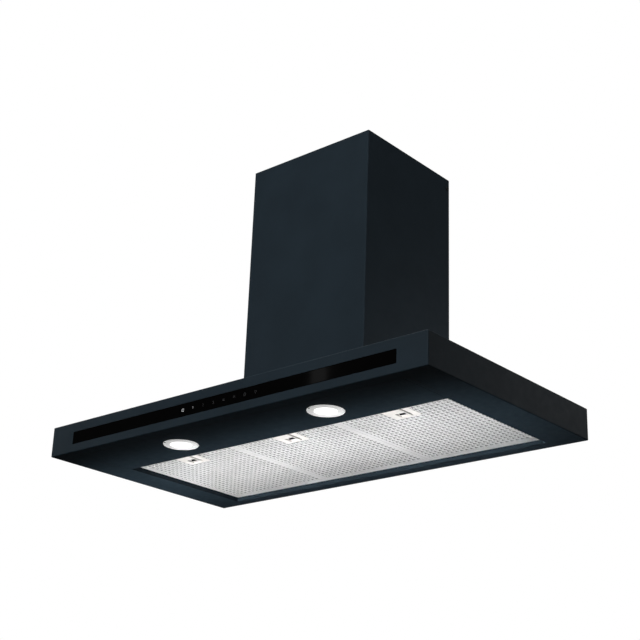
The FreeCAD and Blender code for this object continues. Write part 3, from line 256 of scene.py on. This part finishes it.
def black_glass():
    """Back-painted glass with a trace of haze."""
    shader = Shader("touch_glass", Specular_IOR_Level=0.3)
    haze = shader.noise(60 * MM, 4.0)
    shader.colour(shader.ramp(haze, (0.3, (0.0003, 0.0003, 0.0003)), (0.7, (0.0005, 0.0005, 0.0006))))
    shader.rough(haze, 0.04, 0.09)
    shader.bump((shader.noise(120 * MM, 1.0), 0.02 * MM))
    return shader.material


def symbol_print(name, colour, glow):
    """White ink, lit from behind or not."""
    shader = Shader(name, Roughness=0.4, Emission_Strength=glow)
    grain = shader.noise(0.25 * MM, 2.0)
    tone = shader.ramp(grain, (0.3, scaled(colour, 0.85)), (0.7, colour))
    shader.colour(tone)
    shader.link(tone, shader.surface.inputs["Emission Color"])
    return shader.material


def bright_bezel():
    """A satin ring with a painted glow that stands in for the light its lens spills into it, with faint
    smears.
    """
    shader = Shader("lamp_bezel_satin", Emission_Strength=BEZEL_PAINTED_GLOW)
    smear = shader.noise(8 * MM, 3.0)
    tone = shader.ramp(smear, (0.3, (0.86, 0.86, 0.85)), (0.7, (0.95, 0.95, 0.94)))
    shader.colour(tone)
    shader.link(tone, shader.surface.inputs["Emission Color"])
    shader.rough(smear, 0.30, 0.42)
    shader.bump((shader.noise(2.0 * MM, 2.0), 0.01 * MM))
    return shader.material


def diffuser():
    """A lit frosted lens with a fine prism pattern."""
    shader = Shader("lamp_frost", Roughness=0.45, Emission_Strength=LENS_GLOW)
    prism = shader.cells(1.1 * MM, "Distance")
    warm = shader.ramp(prism, (0.0, (1.0, 0.985, 0.96)), (0.8, (0.93, 0.925, 0.91)))
    shader.colour(warm)
    shader.link(warm, shader.surface.inputs["Emission Color"])
    shader.bump((prism, 0.12 * MM))
    return shader.material


def rolled_aluminium(name, bright=0.92, rough=(0.52, 0.62)):
    """Bright rolled sheet, with drawing lines and soft stains."""
    shader = Shader(name, Metallic=0.6)
    lines = shader.noise(0.5 * MM, 3.0, shader.stretched(0.03, 1.0, 1.0))
    stain = shader.noise(35 * MM, 4.0)
    base = shader.ramp(stain, (0.3, bright * 0.93), (0.7, bright))
    marks = shader.ramp(lines, (0.35, 0.92), (0.65, 1.0))
    shader.colour(shader.mix(1.0, base, marks, "MULTIPLY"))
    shader.rough(stain, *rough)
    shader.bump((lines, 0.01 * MM))
    return shader.material


def grease_mesh():
    """Expanded mesh, bright on the strands and darker between them: the strands are its pattern, the dark
    openings are painted shade of the layers behind.
    """
    shader = Shader("expanded_mesh_painted_shade", Metallic=0.6)
    strand = shader.cells(2.6 * MM, "Distance", shader.stretched(1.0, 0.6, 1.0), "DISTANCE_TO_EDGE")
    # painted shade: the openings between the strands are darker than the strands
    shader.colour(shader.ramp(strand, (0.04, 0.70), (0.16, 0.28)))
    shader.rough(shader.noise(3 * MM), 0.45, 0.6)
    shader.bump((strand, -0.5 * MM))
    return shader.material


def moulded(name, colour, gloss=0.5, grain=0.7 * MM, shine=0.5):
    """Moulded plastic with a spark-eroded grain."""
    shader = Shader(name, Specular_IOR_Level=shine)
    fine = shader.noise(grain, 3.0)
    flow = shader.noise(40 * MM, 2.0)
    shader.colour(shader.ramp(flow, (0.3, scaled(colour, 0.92)), (0.7, scaled(colour, 1.05))))
    shader.rough(fine, gloss - 0.06, gloss + 0.08)
    shader.bump((fine, 0.03 * MM))
    return shader.material


def galvanised():
    """Zinc-coated sheet: spangles that differ in tone and gloss."""
    shader = Shader("zinc_sheet", Metallic=0.9)
    warp = shader.node("ShaderNodeVectorMath")
    warp.operation = "MULTIPLY_ADD"
    ripple = shader.node("ShaderNodeTexNoise")
    ripple.inputs["Scale"].default_value = 1.0 / (9 * MM)
    shader.link(shader.place, ripple.inputs["Vector"])
    shader.link(ripple.outputs["Color"], warp.inputs[0])
    warp.inputs[1].default_value = (6 * MM, 6 * MM, 6 * MM)
    shader.link(shader.place, warp.inputs[2])
    spangle = shader.cells(9 * MM, "Color", warp.outputs["Vector"])
    grey = shader.node("ShaderNodeRGBToBW")
    shader.link(spangle, grey.inputs["Color"])
    shader.colour(shader.ramp(grey.outputs["Val"], (0.1, (0.50, 0.52, 0.54)), (0.9, (0.60, 0.62, 0.64))))
    shader.rough(grey.outputs["Val"], 0.40, 0.48)
    shader.bump((shader.noise(0.8 * MM, 3.0), 0.02 * MM))
    return shader.material


def steel(name, bright, rough, lines_along=(1.0, 1.0, 0.04)):
    """Drawn or turned steel."""
    shader = Shader(name, Metallic=1.0)
    lines = shader.noise(0.4 * MM, 3.0, shader.stretched(*lines_along))
    shader.colour(shader.ramp(lines, (0.3, bright * 0.8), (0.7, bright)))
    shader.rough(lines, rough - 0.05, rough + 0.08)
    shader.bump((lines, 0.008 * MM))
    return shader.material


def circuit_board():
    """Green solder mask over copper tracks, with bright pads."""
    shader = Shader("board_green", Specular_IOR_Level=0.5)
    tracks = shader.cells(3.2 * MM, "Distance", None, "DISTANCE_TO_EDGE")
    mask = shader.ramp(tracks, (0.05, (0.010, 0.060, 0.025)), (0.09, (0.018, 0.12, 0.05)))
    pads = shader.cells(4.1 * MM, "Distance")
    spots = shader.ramp(pads, (0.10, 1.0), (0.13, 0.0))
    shader.colour(shader.mix(spots, mask, (0.55, 0.50, 0.36, 1.0)))
    shader.rough(shader.noise(2 * MM), 0.25, 0.4)
    shader.bump((tracks, 0.05 * MM))
    return shader.material


def motor_enamel():
    """Black enamel over the motor's laminations."""
    shader = Shader("motor_black", Metallic=0.3)
    sheets = shader.waves(0.7 * MM)
    shader.colour(shader.ramp(sheets, (0.2, 0.02), (0.8, 0.055)))
    shader.rough(shader.noise(3 * MM, 3.0), 0.4, 0.6)
    shader.bump((sheets, 0.05 * MM))
    return shader.material


def studio_floor():
    """Pale paper, which glows a little so that it stays pale far from the lights."""
    shader = Shader("floor_pale", Roughness=0.7, Emission_Strength=FLOOR_GLOW)
    cloud = shader.noise(1.2, 3.0)
    tone = shader.ramp(cloud, (0.3, (0.77, 0.77, 0.77)), (0.7, (0.80, 0.80, 0.80)))
    shader.colour(tone)
    shader.link(tone, shader.surface.inputs["Emission Color"])
    shader.bump((shader.noise(4 * MM, 2.0), 0.1 * MM))
    return shader.material


SLATE = (0.0140, 0.0228, 0.0308)
MATERIALS = {
    "canopy_paint": powder_coat("slate_canopy", SLATE),
    "chimney_paint": powder_coat("slate_chimney", SLATE),
    "panel_paint": powder_coat("slate_panel", SLATE),
    "black_glass": black_glass(),
    "lamp_bezel": bright_bezel(),
    "lamp_diffuser": diffuser(),
    "cast_aluminium": rolled_aluminium("cast_lamp_body", 0.6, (0.45, 0.6)),
    "filter_aluminium": rolled_aluminium("filter_sheet"),
    "filter_mesh": grease_mesh(),
    "latch_plastic": moulded("latch_light_grey", (0.86, 0.835, 0.81), 0.42),
    "latch_slide_plastic": moulded("latch_warm_grey", (0.80, 0.77, 0.74), 0.5),
    "spring_steel": steel("spring_wire", 0.6, 0.3),
    "galvanised": galvanised(),
    "black_plastic": moulded("black_moulding", (0.010, 0.010, 0.011), 0.5, shine=0.12),
    "grey_plastic": moulded("grey_moulding", (0.12, 0.125, 0.13), 0.5),
    "white_plastic": moulded("white_moulding", (0.66, 0.66, 0.63), 0.45),
    "circuit_board": circuit_board(),
    "motor_steel": motor_enamel(),
    "shaft_steel": steel("ground_shaft", 0.62, 0.2, (0.04, 1.0, 1.0)),
    "capacitor_can": steel("drawn_can", 0.7, 0.32),
    "lead_sheath": moulded("lead_rubber", (0.018, 0.018, 0.018), 0.6, 0.4 * MM),
    "screw_steel": steel("zinc_screw", 0.5, 0.35),
    "dark_screw": steel("dark_screw_steel", 0.06, 0.4),
}


def dress_cad_nodes():
    """Gives every carried-over CAD node the material of its record slot."""
    for subpart in frame["record"]["subparts"]:
        data = frame["nodes"][subpart["node"]].data
        data.materials.clear()
        data.materials.append(MATERIALS[subpart["material_slot"]])


# ---------------------------------------------------------------- mesh helpers

def new_piece(name, mesh, body, slot, material=None):
    """An object that rides on a body, in its slot's material unless another is given."""
    piece = bpy.data.objects.new(name, mesh)
    bpy.context.scene.collection.objects.link(piece)
    mesh.materials.append(material or MATERIALS[slot])
    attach(piece, body)
    return piece


def box_of(node):
    low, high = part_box(node)
    return Vector(low), Vector(high)


# ---------------------------------------------------------------- filter sheets

def cell_ring(step, sides, rings, hole):
    """Points of one ring of a lattice cell, from its hole (step 0) to its square edge."""
    blend = step / rings
    points = []
    for number in range(sides):
        angle = 2 * math.pi * number / sides + math.pi / 4
        across, along = math.cos(angle), math.sin(angle)
        square = 0.5 * CELL / max(abs(across), abs(along))
        radius = hole + (square - hole) * blend
        points.append((across * radius, along * radius))
    return points


def pillow(x, y):
    """Relief of the pressed lattice: 0 on the creases through the holes, 1 on the pillow between four."""
    height = 1.0
    for offset in (x, y):
        height *= 1 - (1 - abs(math.sin(math.pi * offset / CELL))) ** 2
    return height


def lattice(low, high, level, sign, sides, rings):
    """Square cells with round holes, pressed into pillows, over the given rectangle."""
    middle = (low + high) / 2
    columns = math.ceil((high.x - low.x) / 2 / CELL)
    rows = math.ceil((high.y - low.y) / 2 / CELL)
    cell = [cell_ring(step, sides, rings, HOLE_R) for step in range(rings + 1)]
    relief = bmesh.new()
    for column in range(-columns, columns + 1):
        for row in range(-rows, rows + 1):
            x0, y0 = middle.x + column * CELL, middle.y + row * CELL
            loops = []
            for points in cell:
                loop = []
                for x, y in points:
                    z = level + sign * PILLOW_H * pillow(x, y)
                    loop.append(relief.verts.new((x0 + x, y0 + y, z)))
                loops.append(loop)
            for inner, outer in zip(loops, loops[1:]):
                for number in range(sides):
                    after = (number + 1) % sides
                    corners = (inner[number], outer[number], outer[after], inner[after])
                    relief.faces.new(corners if sign > 0 else corners[::-1])
    bmesh.ops.remove_doubles(relief, verts=relief.verts, dist=WELD)
    return relief


def ripples(low, high, level, sign):
    """A sheet with ripples that run along Y, over the given rectangle."""
    steps = math.ceil((high.x - low.x) / RIPPLE) * RIPPLE_STEPS
    relief = bmesh.new()
    before = None
    for step in range(steps + 1):
        x = low.x + step * RIPPLE / RIPPLE_STEPS
        z = level + RIPPLE_H * math.sin(2 * math.pi * step / RIPPLE_STEPS)
        pair = (relief.verts.new((x, low.y, z)), relief.verts.new((x, high.y, z)))
        if before:
            corners = (before[0], pair[0], pair[1], before[1])
            relief.faces.new(corners if sign > 0 else corners[::-1])
        before = pair
    return relief


def bisect(relief, place, normal, clear=False):
    """Cuts the relief along a plane, and clears what lies beyond it if asked."""
    everything = relief.verts[:] + relief.edges[:] + relief.faces[:]
    bmesh.ops.bisect_plane(relief, geom=everything, plane_co=place, plane_no=normal, clear_outer=clear)


def trimmed(relief, low, high, opening):
    """The relief as a mesh, cut to a rectangle and with the latch's rectangle left out."""
    for edge, normal in ((low, (-1, 0, 0)), (low, (0, -1, 0)), (high, (1, 0, 0)), (high, (0, 1, 0))):
        bisect(relief, edge, normal, clear=True)
    cut_low, cut_high = opening
    for corner, normal in ((cut_low, (1, 0, 0)), (cut_high, (1, 0, 0)), (cut_high, (0, 1, 0))):
        bisect(relief, corner, normal)
    inside = []
    for face in relief.faces:
        spot = face.calc_center_median()
        if cut_low.x < spot.x < cut_high.x and spot.y < cut_high.y:
            inside.append(face)
    bmesh.ops.delete(relief, geom=inside, context="FACES")
    mesh = bpy.data.meshes.new("relief")
    relief.to_mesh(mesh)
    relief.free()
    mesh.polygons.foreach_set("use_smooth", [True] * len(mesh.polygons))
    return mesh


def thin_piece(name, mesh, body, slot, node):
    """A sheet of real thickness that stands for a CAD node."""
    piece = new_piece(name, mesh, body, slot)
    shell = piece.modifiers.new("thickness", "SOLIDIFY")
    shell.thickness = SHEET_T
    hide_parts(node)


def filter_sheets(side):
    """One grease filter's pressed and pierced sheets, with a rippled mesh behind each."""
    body = "filter_" + side
    grille, mesh_pack = body + "_grille", body + "_mesh"
    opening = box_of(body + "_latch_case")
    low, high = box_of(grille)
    inset = SHEET_IN + PILLOW_H
    for face, level, sign, sides, rings in (
        ("lower", low.z + inset, -1, HOLE_SIDES, CELL_RINGS),
        ("upper", high.z - inset, 1, COARSE_SIDES, COARSE_RINGS),
    ):
        sheet = trimmed(lattice(low, high, level, sign, sides, rings), low, high, opening)
        thin_piece("filter_%s_%s_sheet" % (side, face), sheet, body, "filter_aluminium", grille)
        depth = level - sign * (RIPPLE_H + 2 * SHEET_T)
        layer = trimmed(ripples(low, high, depth, sign), low, high, opening)
        thin_piece("filter_%s_%s_mesh" % (side, face), layer, body, "filter_mesh", mesh_pack)


# ---------------------------------------------------------------- small dark parts

def bars(name, body, slot, places):
    """Bars with eased edges, from (centre, size, turn about Z) entries."""
    shapes = bmesh.new()
    for centre, size, turn in places:
        place = Matrix.Translation(centre) @ Matrix.Rotation(turn, 4, "Z") @ Matrix.Diagonal((*size, 1.0))
        made = bmesh.ops.create_cube(shapes, size=1.0, matrix=place)
        edges = list({edge for vert in made["verts"] for edge in vert.link_edges})
        bmesh.ops.bevel(shapes, geom=edges, offset=min(size) / 4, segments=2, affect="EDGES")
    mesh = bpy.data.meshes.new(name)
    shapes.to_mesh(mesh)
    shapes.free()
    new_piece(name, mesh, body, slot)


def latch_groove_shades(side):
    """Dark strips in the latch plate's two grooves: painted shade of the grooves."""
    low, high = box_of("filter_%s_latch_case" % side)
    length = high.y - low.y - GROOVE_SHADE_SHORT
    middle = Vector(((low.x + high.x) / 2, low.y + GROOVE_SHADE_START + length / 2, low.z + GROOVE_SHADE_UP))
    size = Vector((GROOVE_SHADE_W, length, GROOVE_SHADE_T))
    places = [(middle + Vector((x, 0, 0)), size, 0.0) for x in (-GROOVE_SHADE_X, GROOVE_SHADE_X)]
    bars("latch_%s_seals" % side, "filter_" + side, "black_plastic", places)


def latch_shade_pads(side):
    """Thin dark pads in the latch slide's finger hole: painted shade of the hole."""
    low, high = box_of("filter_%s_latch_slide" % side)
    edge = Vector(((low.x + high.x) / 2, high.y, low.z))
    places = [(edge + Vector(offset), Vector(size), 0.0) for offset, size in FINGER_SHADE_PADS]
    bars("latch_%s_pads" % side, "latch_" + side, "black_plastic", places)


def panel_gap_shade():
    """A dark line in the gap around the light panel's front and sides: painted shade of the gap."""
    low, high = box_of("light_panel")
    middle = (low + high) / 2
    z = low.z
    across = Vector((high.x - low.x + 2 * GAP_SHADE_W, GAP_SHADE_W, GAP_SHADE_T))
    along = Vector((GAP_SHADE_W, high.y - low.y, GAP_SHADE_T))
    places = [(Vector((middle.x, low.y, z)), across, 0.0)]
    for x in (low.x, high.x):
        places.append((Vector((x, middle.y, z)), along, 0.0))
    bars("panel_gap_shade", "root", "black_plastic", places)


def pry_shadows(side):
    """A dark bar in the notch at the edge of a lamp's ring: painted shadow of the notch."""
    low, high = box_of("lamp_%s_ring" % side)
    middle = (low + high) / 2
    reach = (high.x - low.x) / 2 - PRY_IN
    centre = Vector((
        middle.x + reach * math.sin(PRY_TURN),
        middle.y - reach * math.cos(PRY_TURN),
        low.z + PRY_UP,
    ))
    bars("lamp_%s_pry" % side, "root", "black_plastic", [(centre, Vector((PRY_W, PRY_D, PRY_T)), PRY_TURN)])


# ---------------------------------------------------------------- touch symbols

def arc(x, y, radius, start, end, steps=24):
    """Points of an arc, in degrees."""
    return [
        (x + radius * math.cos(math.radians(start + (end - start) * step / steps)),
         y + radius * math.sin(math.radians(start + (end - start) * step / steps)))
        for step in range(steps + 1)
    ]


def power_symbol():
    return [arc(0, -0.2, 3.0, 125, 415), [(0, 0.6), (0, 3.6)]]


def numeral_one():
    return [[(-0.7, 1.3), (0.3, 2.1), (0.3, -1.7)]]


def numeral_two():
    return [arc(0, 1.2, 1.6, 165, -35, 12) + [(-1.7, -2.8), (1.8, -2.8)]]


def numeral_three():
    return [arc(0, 1.35, 1.45, 150, -80, 12), arc(0, -1.3, 1.6, 85, -150, 12)]


def wave_symbol():
    strokes = []
    for level in (-1.2, 1.2):
        wave = [(-3.0 + 0.3 * step, level + 0.7 * math.sin(step * math.pi / 5)) for step in range(21)]
        strokes.append(wave)
    return strokes


def boost_symbol():
    return [[(-3.0, -1.9), (0, 0.6), (3.0, -1.9)], [(-3.0, 0.5), (0, 3.0), (3.0, 0.5)]]


def clock_symbol():
    return [arc(0, 0, 3.1, 90, 450), [(0, 1.9), (0, 0), (1.5, -0.9)]]


def lamp_symbol():
    bulb = arc(0, 0.8, 2.3, -60, 240)
    return [[(1.0, -2.3)] + bulb + [(-1.0, -2.3), (1.0, -2.3)], [(-0.8, -3.4), (0.8, -3.4)]]


SYMBOLS = (power_symbol, numeral_one, numeral_two, numeral_three,
           wave_symbol, boost_symbol, clock_symbol, lamp_symbol)
LIT_KEYS = 2


def add_stroke(target, points, centre_x, centre_z, front):
    """A flat printed line of even width along 2-D points in millimetres."""
    spots = [Vector(point) * SYMBOL_SCALE * MM for point in points]
    rims = []
    for number, spot in enumerate(spots):
        before = spots[max(number - 1, 0)]
        after = spots[min(number + 1, len(spots) - 1)]
        run = (after - before).normalized()
        aside = Vector((-run.y, run.x)) * STROKE_W / 2
        rims.append((spot + aside, spot - aside))
    layers = []
    for depth in (front, front + PRINT_T):
        layers.append([
            tuple(target.verts.new((centre_x + rim.x, depth, centre_z + rim.y)) for rim in pair)
            for pair in rims
        ])
    face, back = layers
    for number in range(len(spots) - 1):
        after = number + 1
        target.faces.new((face[number][0], face[number][1], face[after][1], face[after][0]))
        target.faces.new((back[number][0], back[after][0], back[after][1], back[number][1]))
        target.faces.new((face[number][0], face[after][0], back[after][0], back[number][0]))
        target.faces.new((face[number][1], back[number][1], back[after][1], face[after][1]))
    for end in (0, -1):
        target.faces.new((face[end][0], back[end][0], back[end][1], face[end][1]))


def touch_symbols():
    """Eight generic symbols on the glass: the first ones are lit, the others are faint."""
    low, high = box_of("control_glass")
    front = low.y
    centre_z = (low.z + high.z) / 2
    lit = symbol_print("symbol_lit", (0.85, 0.87, 0.90), SYMBOL_GLOW)
    faint = symbol_print("symbol_faint", (0.05, 0.05, 0.055), FAINT_GLOW)
    for first, last, name, ink in ((0, LIT_KEYS, "symbols_lit", lit),
                                   (LIT_KEYS, KEY_COUNT, "symbols_faint", faint)):
        strokes = bmesh.new()
        for key in range(first, last):
            centre_x = (low.x + high.x) / 2 + (key - (KEY_COUNT - 1) / 2) * KEY_PITCH
            for points in SYMBOLS[key]():
                add_stroke(strokes, points, centre_x, centre_z, front)
        bmesh.ops.recalc_face_normals(strokes, faces=strokes.faces)
        mesh = bpy.data.meshes.new(name)
        strokes.to_mesh(mesh)
        strokes.free()
        new_piece(name, mesh, "root", "white_plastic", ink)


def glass_strip():
    """The glass with a ground and polished edge, set a hair behind its symbols."""
    low, high = box_of("control_glass")
    slab = bmesh.new()
    bmesh.ops.create_cube(slab, size=1.0)
    size = high - low
    size.y -= PRINT_T
    middle = (low + high) / 2
    middle.y += PRINT_T / 2
    place = Matrix.Translation(middle) @ Matrix.Diagonal((*size, 1.0))
    bmesh.ops.transform(slab, matrix=place, verts=slab.verts)
    front = [edge for edge in slab.edges if all(v.co.y < middle.y for v in edge.verts)]
    bmesh.ops.bevel(slab, geom=front, offset=GLASS_BEVEL, segments=3, profile=0.6, affect="EDGES")
    mesh = bpy.data.meshes.new("glass")
    slab.to_mesh(mesh)
    slab.free()
    glass = new_piece("touch_glass", mesh, "root", "black_glass")
    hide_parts("control_glass")


# ---------------------------------------------------------------- studio

def make_camera():
    """The camera on its sphere about the target, turned by its roll."""
    back = Vector((
        math.sin(CAMERA_AZIMUTH) * math.cos(CAMERA_ELEVATION),
        -math.cos(CAMERA_AZIMUTH) * math.cos(CAMERA_ELEVATION),
        math.sin(CAMERA_ELEVATION),
    ))
    right = Vector((0, 0, 1)).cross(back).normalized()
    up = back.cross(right)
    turned_right = math.cos(CAMERA_ROLL) * right + math.sin(CAMERA_ROLL) * up
    turned_up = math.cos(CAMERA_ROLL) * up - math.sin(CAMERA_ROLL) * right
    data = bpy.data.cameras.new("camera")
    data.lens = CAMERA_LENS_MM
    data.sensor_width = CAMERA_SENSOR_MM
    camera = bpy.data.objects.new("camera", data)
    axes = Matrix((turned_right, turned_up, back)).transposed()
    camera.matrix_world = Matrix.Translation(CAMERA_TARGET + back * CAMERA_DISTANCE) @ axes.to_4x4()
    bpy.context.scene.collection.objects.link(camera)
    bpy.context.scene.camera = camera


def make_floor():
    """A pale floor far below, which throws no light on the hood."""
    mesh = bpy.data.meshes.new("floor")
    half = FLOOR_HALF
    corners = [(-half, -half, FLOOR_Z), (half, -half, FLOOR_Z), (half, half, FLOOR_Z), (-half, half, FLOOR_Z)]
    mesh.from_pydata(corners, [], [(0, 1, 2, 3)])
    floor = bpy.data.objects.new("floor", mesh)
    mesh.materials.append(studio_floor())
    bpy.context.scene.collection.objects.link(floor)
    floor.visible_diffuse = False
    floor.visible_glossy = False


def soft_light(name, place, target, width, height, watts, spread):
    """A rectangular light that faces its target and isn't seen itself."""
    data = bpy.data.lights.new(name, "AREA")
    data.shape = "RECTANGLE"
    data.size = width
    data.size_y = height
    data.energy = watts
    data.spread = math.radians(spread)
    light = bpy.data.objects.new(name, data)
    light.location = place
    light.rotation_mode = "QUATERNION"
    light.rotation_quaternion = (Vector(target) - Vector(place)).to_track_quat("-Z", "Y")
    light.visible_camera = False
    bpy.context.scene.collection.objects.link(light)


def make_world():
    """White to the camera, and a quiet sky of two tones for the light on the hood."""
    world = bpy.data.worlds.new("studio")
    world.use_nodes = True
    bpy.context.scene.world = world
    tree = world.node_tree
    tree.nodes.clear()
    place = tree.nodes.new("ShaderNodeTexCoord")
    split = tree.nodes.new("ShaderNodeSeparateXYZ")
    tree.links.new(place.outputs["Generated"], split.inputs["Vector"])
    height = tree.nodes.new("ShaderNodeMapRange")
    height.inputs["From Min"].default_value = SKY_FADE_FROM
    height.inputs["From Max"].default_value = SKY_FADE_TO
    height.inputs["To Min"].default_value = WORLD_BELOW
    height.inputs["To Max"].default_value = WORLD_ABOVE
    tree.links.new(split.outputs["Z"], height.inputs["Value"])
    quiet = tree.nodes.new("ShaderNodeBackground")
    tree.links.new(height.outputs["Result"], quiet.inputs["Strength"])
    seen = tree.nodes.new("ShaderNodeBackground")
    seen.inputs["Strength"].default_value = WORLD_SEEN
    for background in (quiet, seen):
        background.inputs["Color"].default_value = (1.0, 1.0, 1.0, 1.0)
    path = tree.nodes.new("ShaderNodeLightPath")
    mixer = tree.nodes.new("ShaderNodeMixShader")
    tree.links.new(path.outputs["Is Camera Ray"], mixer.inputs["Fac"])
    tree.links.new(quiet.outputs["Background"], mixer.inputs[1])
    tree.links.new(seen.outputs["Background"], mixer.inputs[2])
    output = tree.nodes.new("ShaderNodeOutputWorld")
    tree.links.new(mixer.outputs["Shader"], output.inputs["Surface"])


def make_studio():
    make_world()
    make_floor()
    for light in LIGHTS:
        soft_light(*light)
    bpy.context.scene.view_settings.view_transform = "Standard"


make_camera()
make_studio()
dress_cad_nodes()
glass_strip()
touch_symbols()
for side in SIDES:
    filter_sheets(side)
    latch_groove_shades(side)
    latch_shade_pads(side)
panel_gap_shade()
for side in ("left", "right"):
    pry_shadows(side)
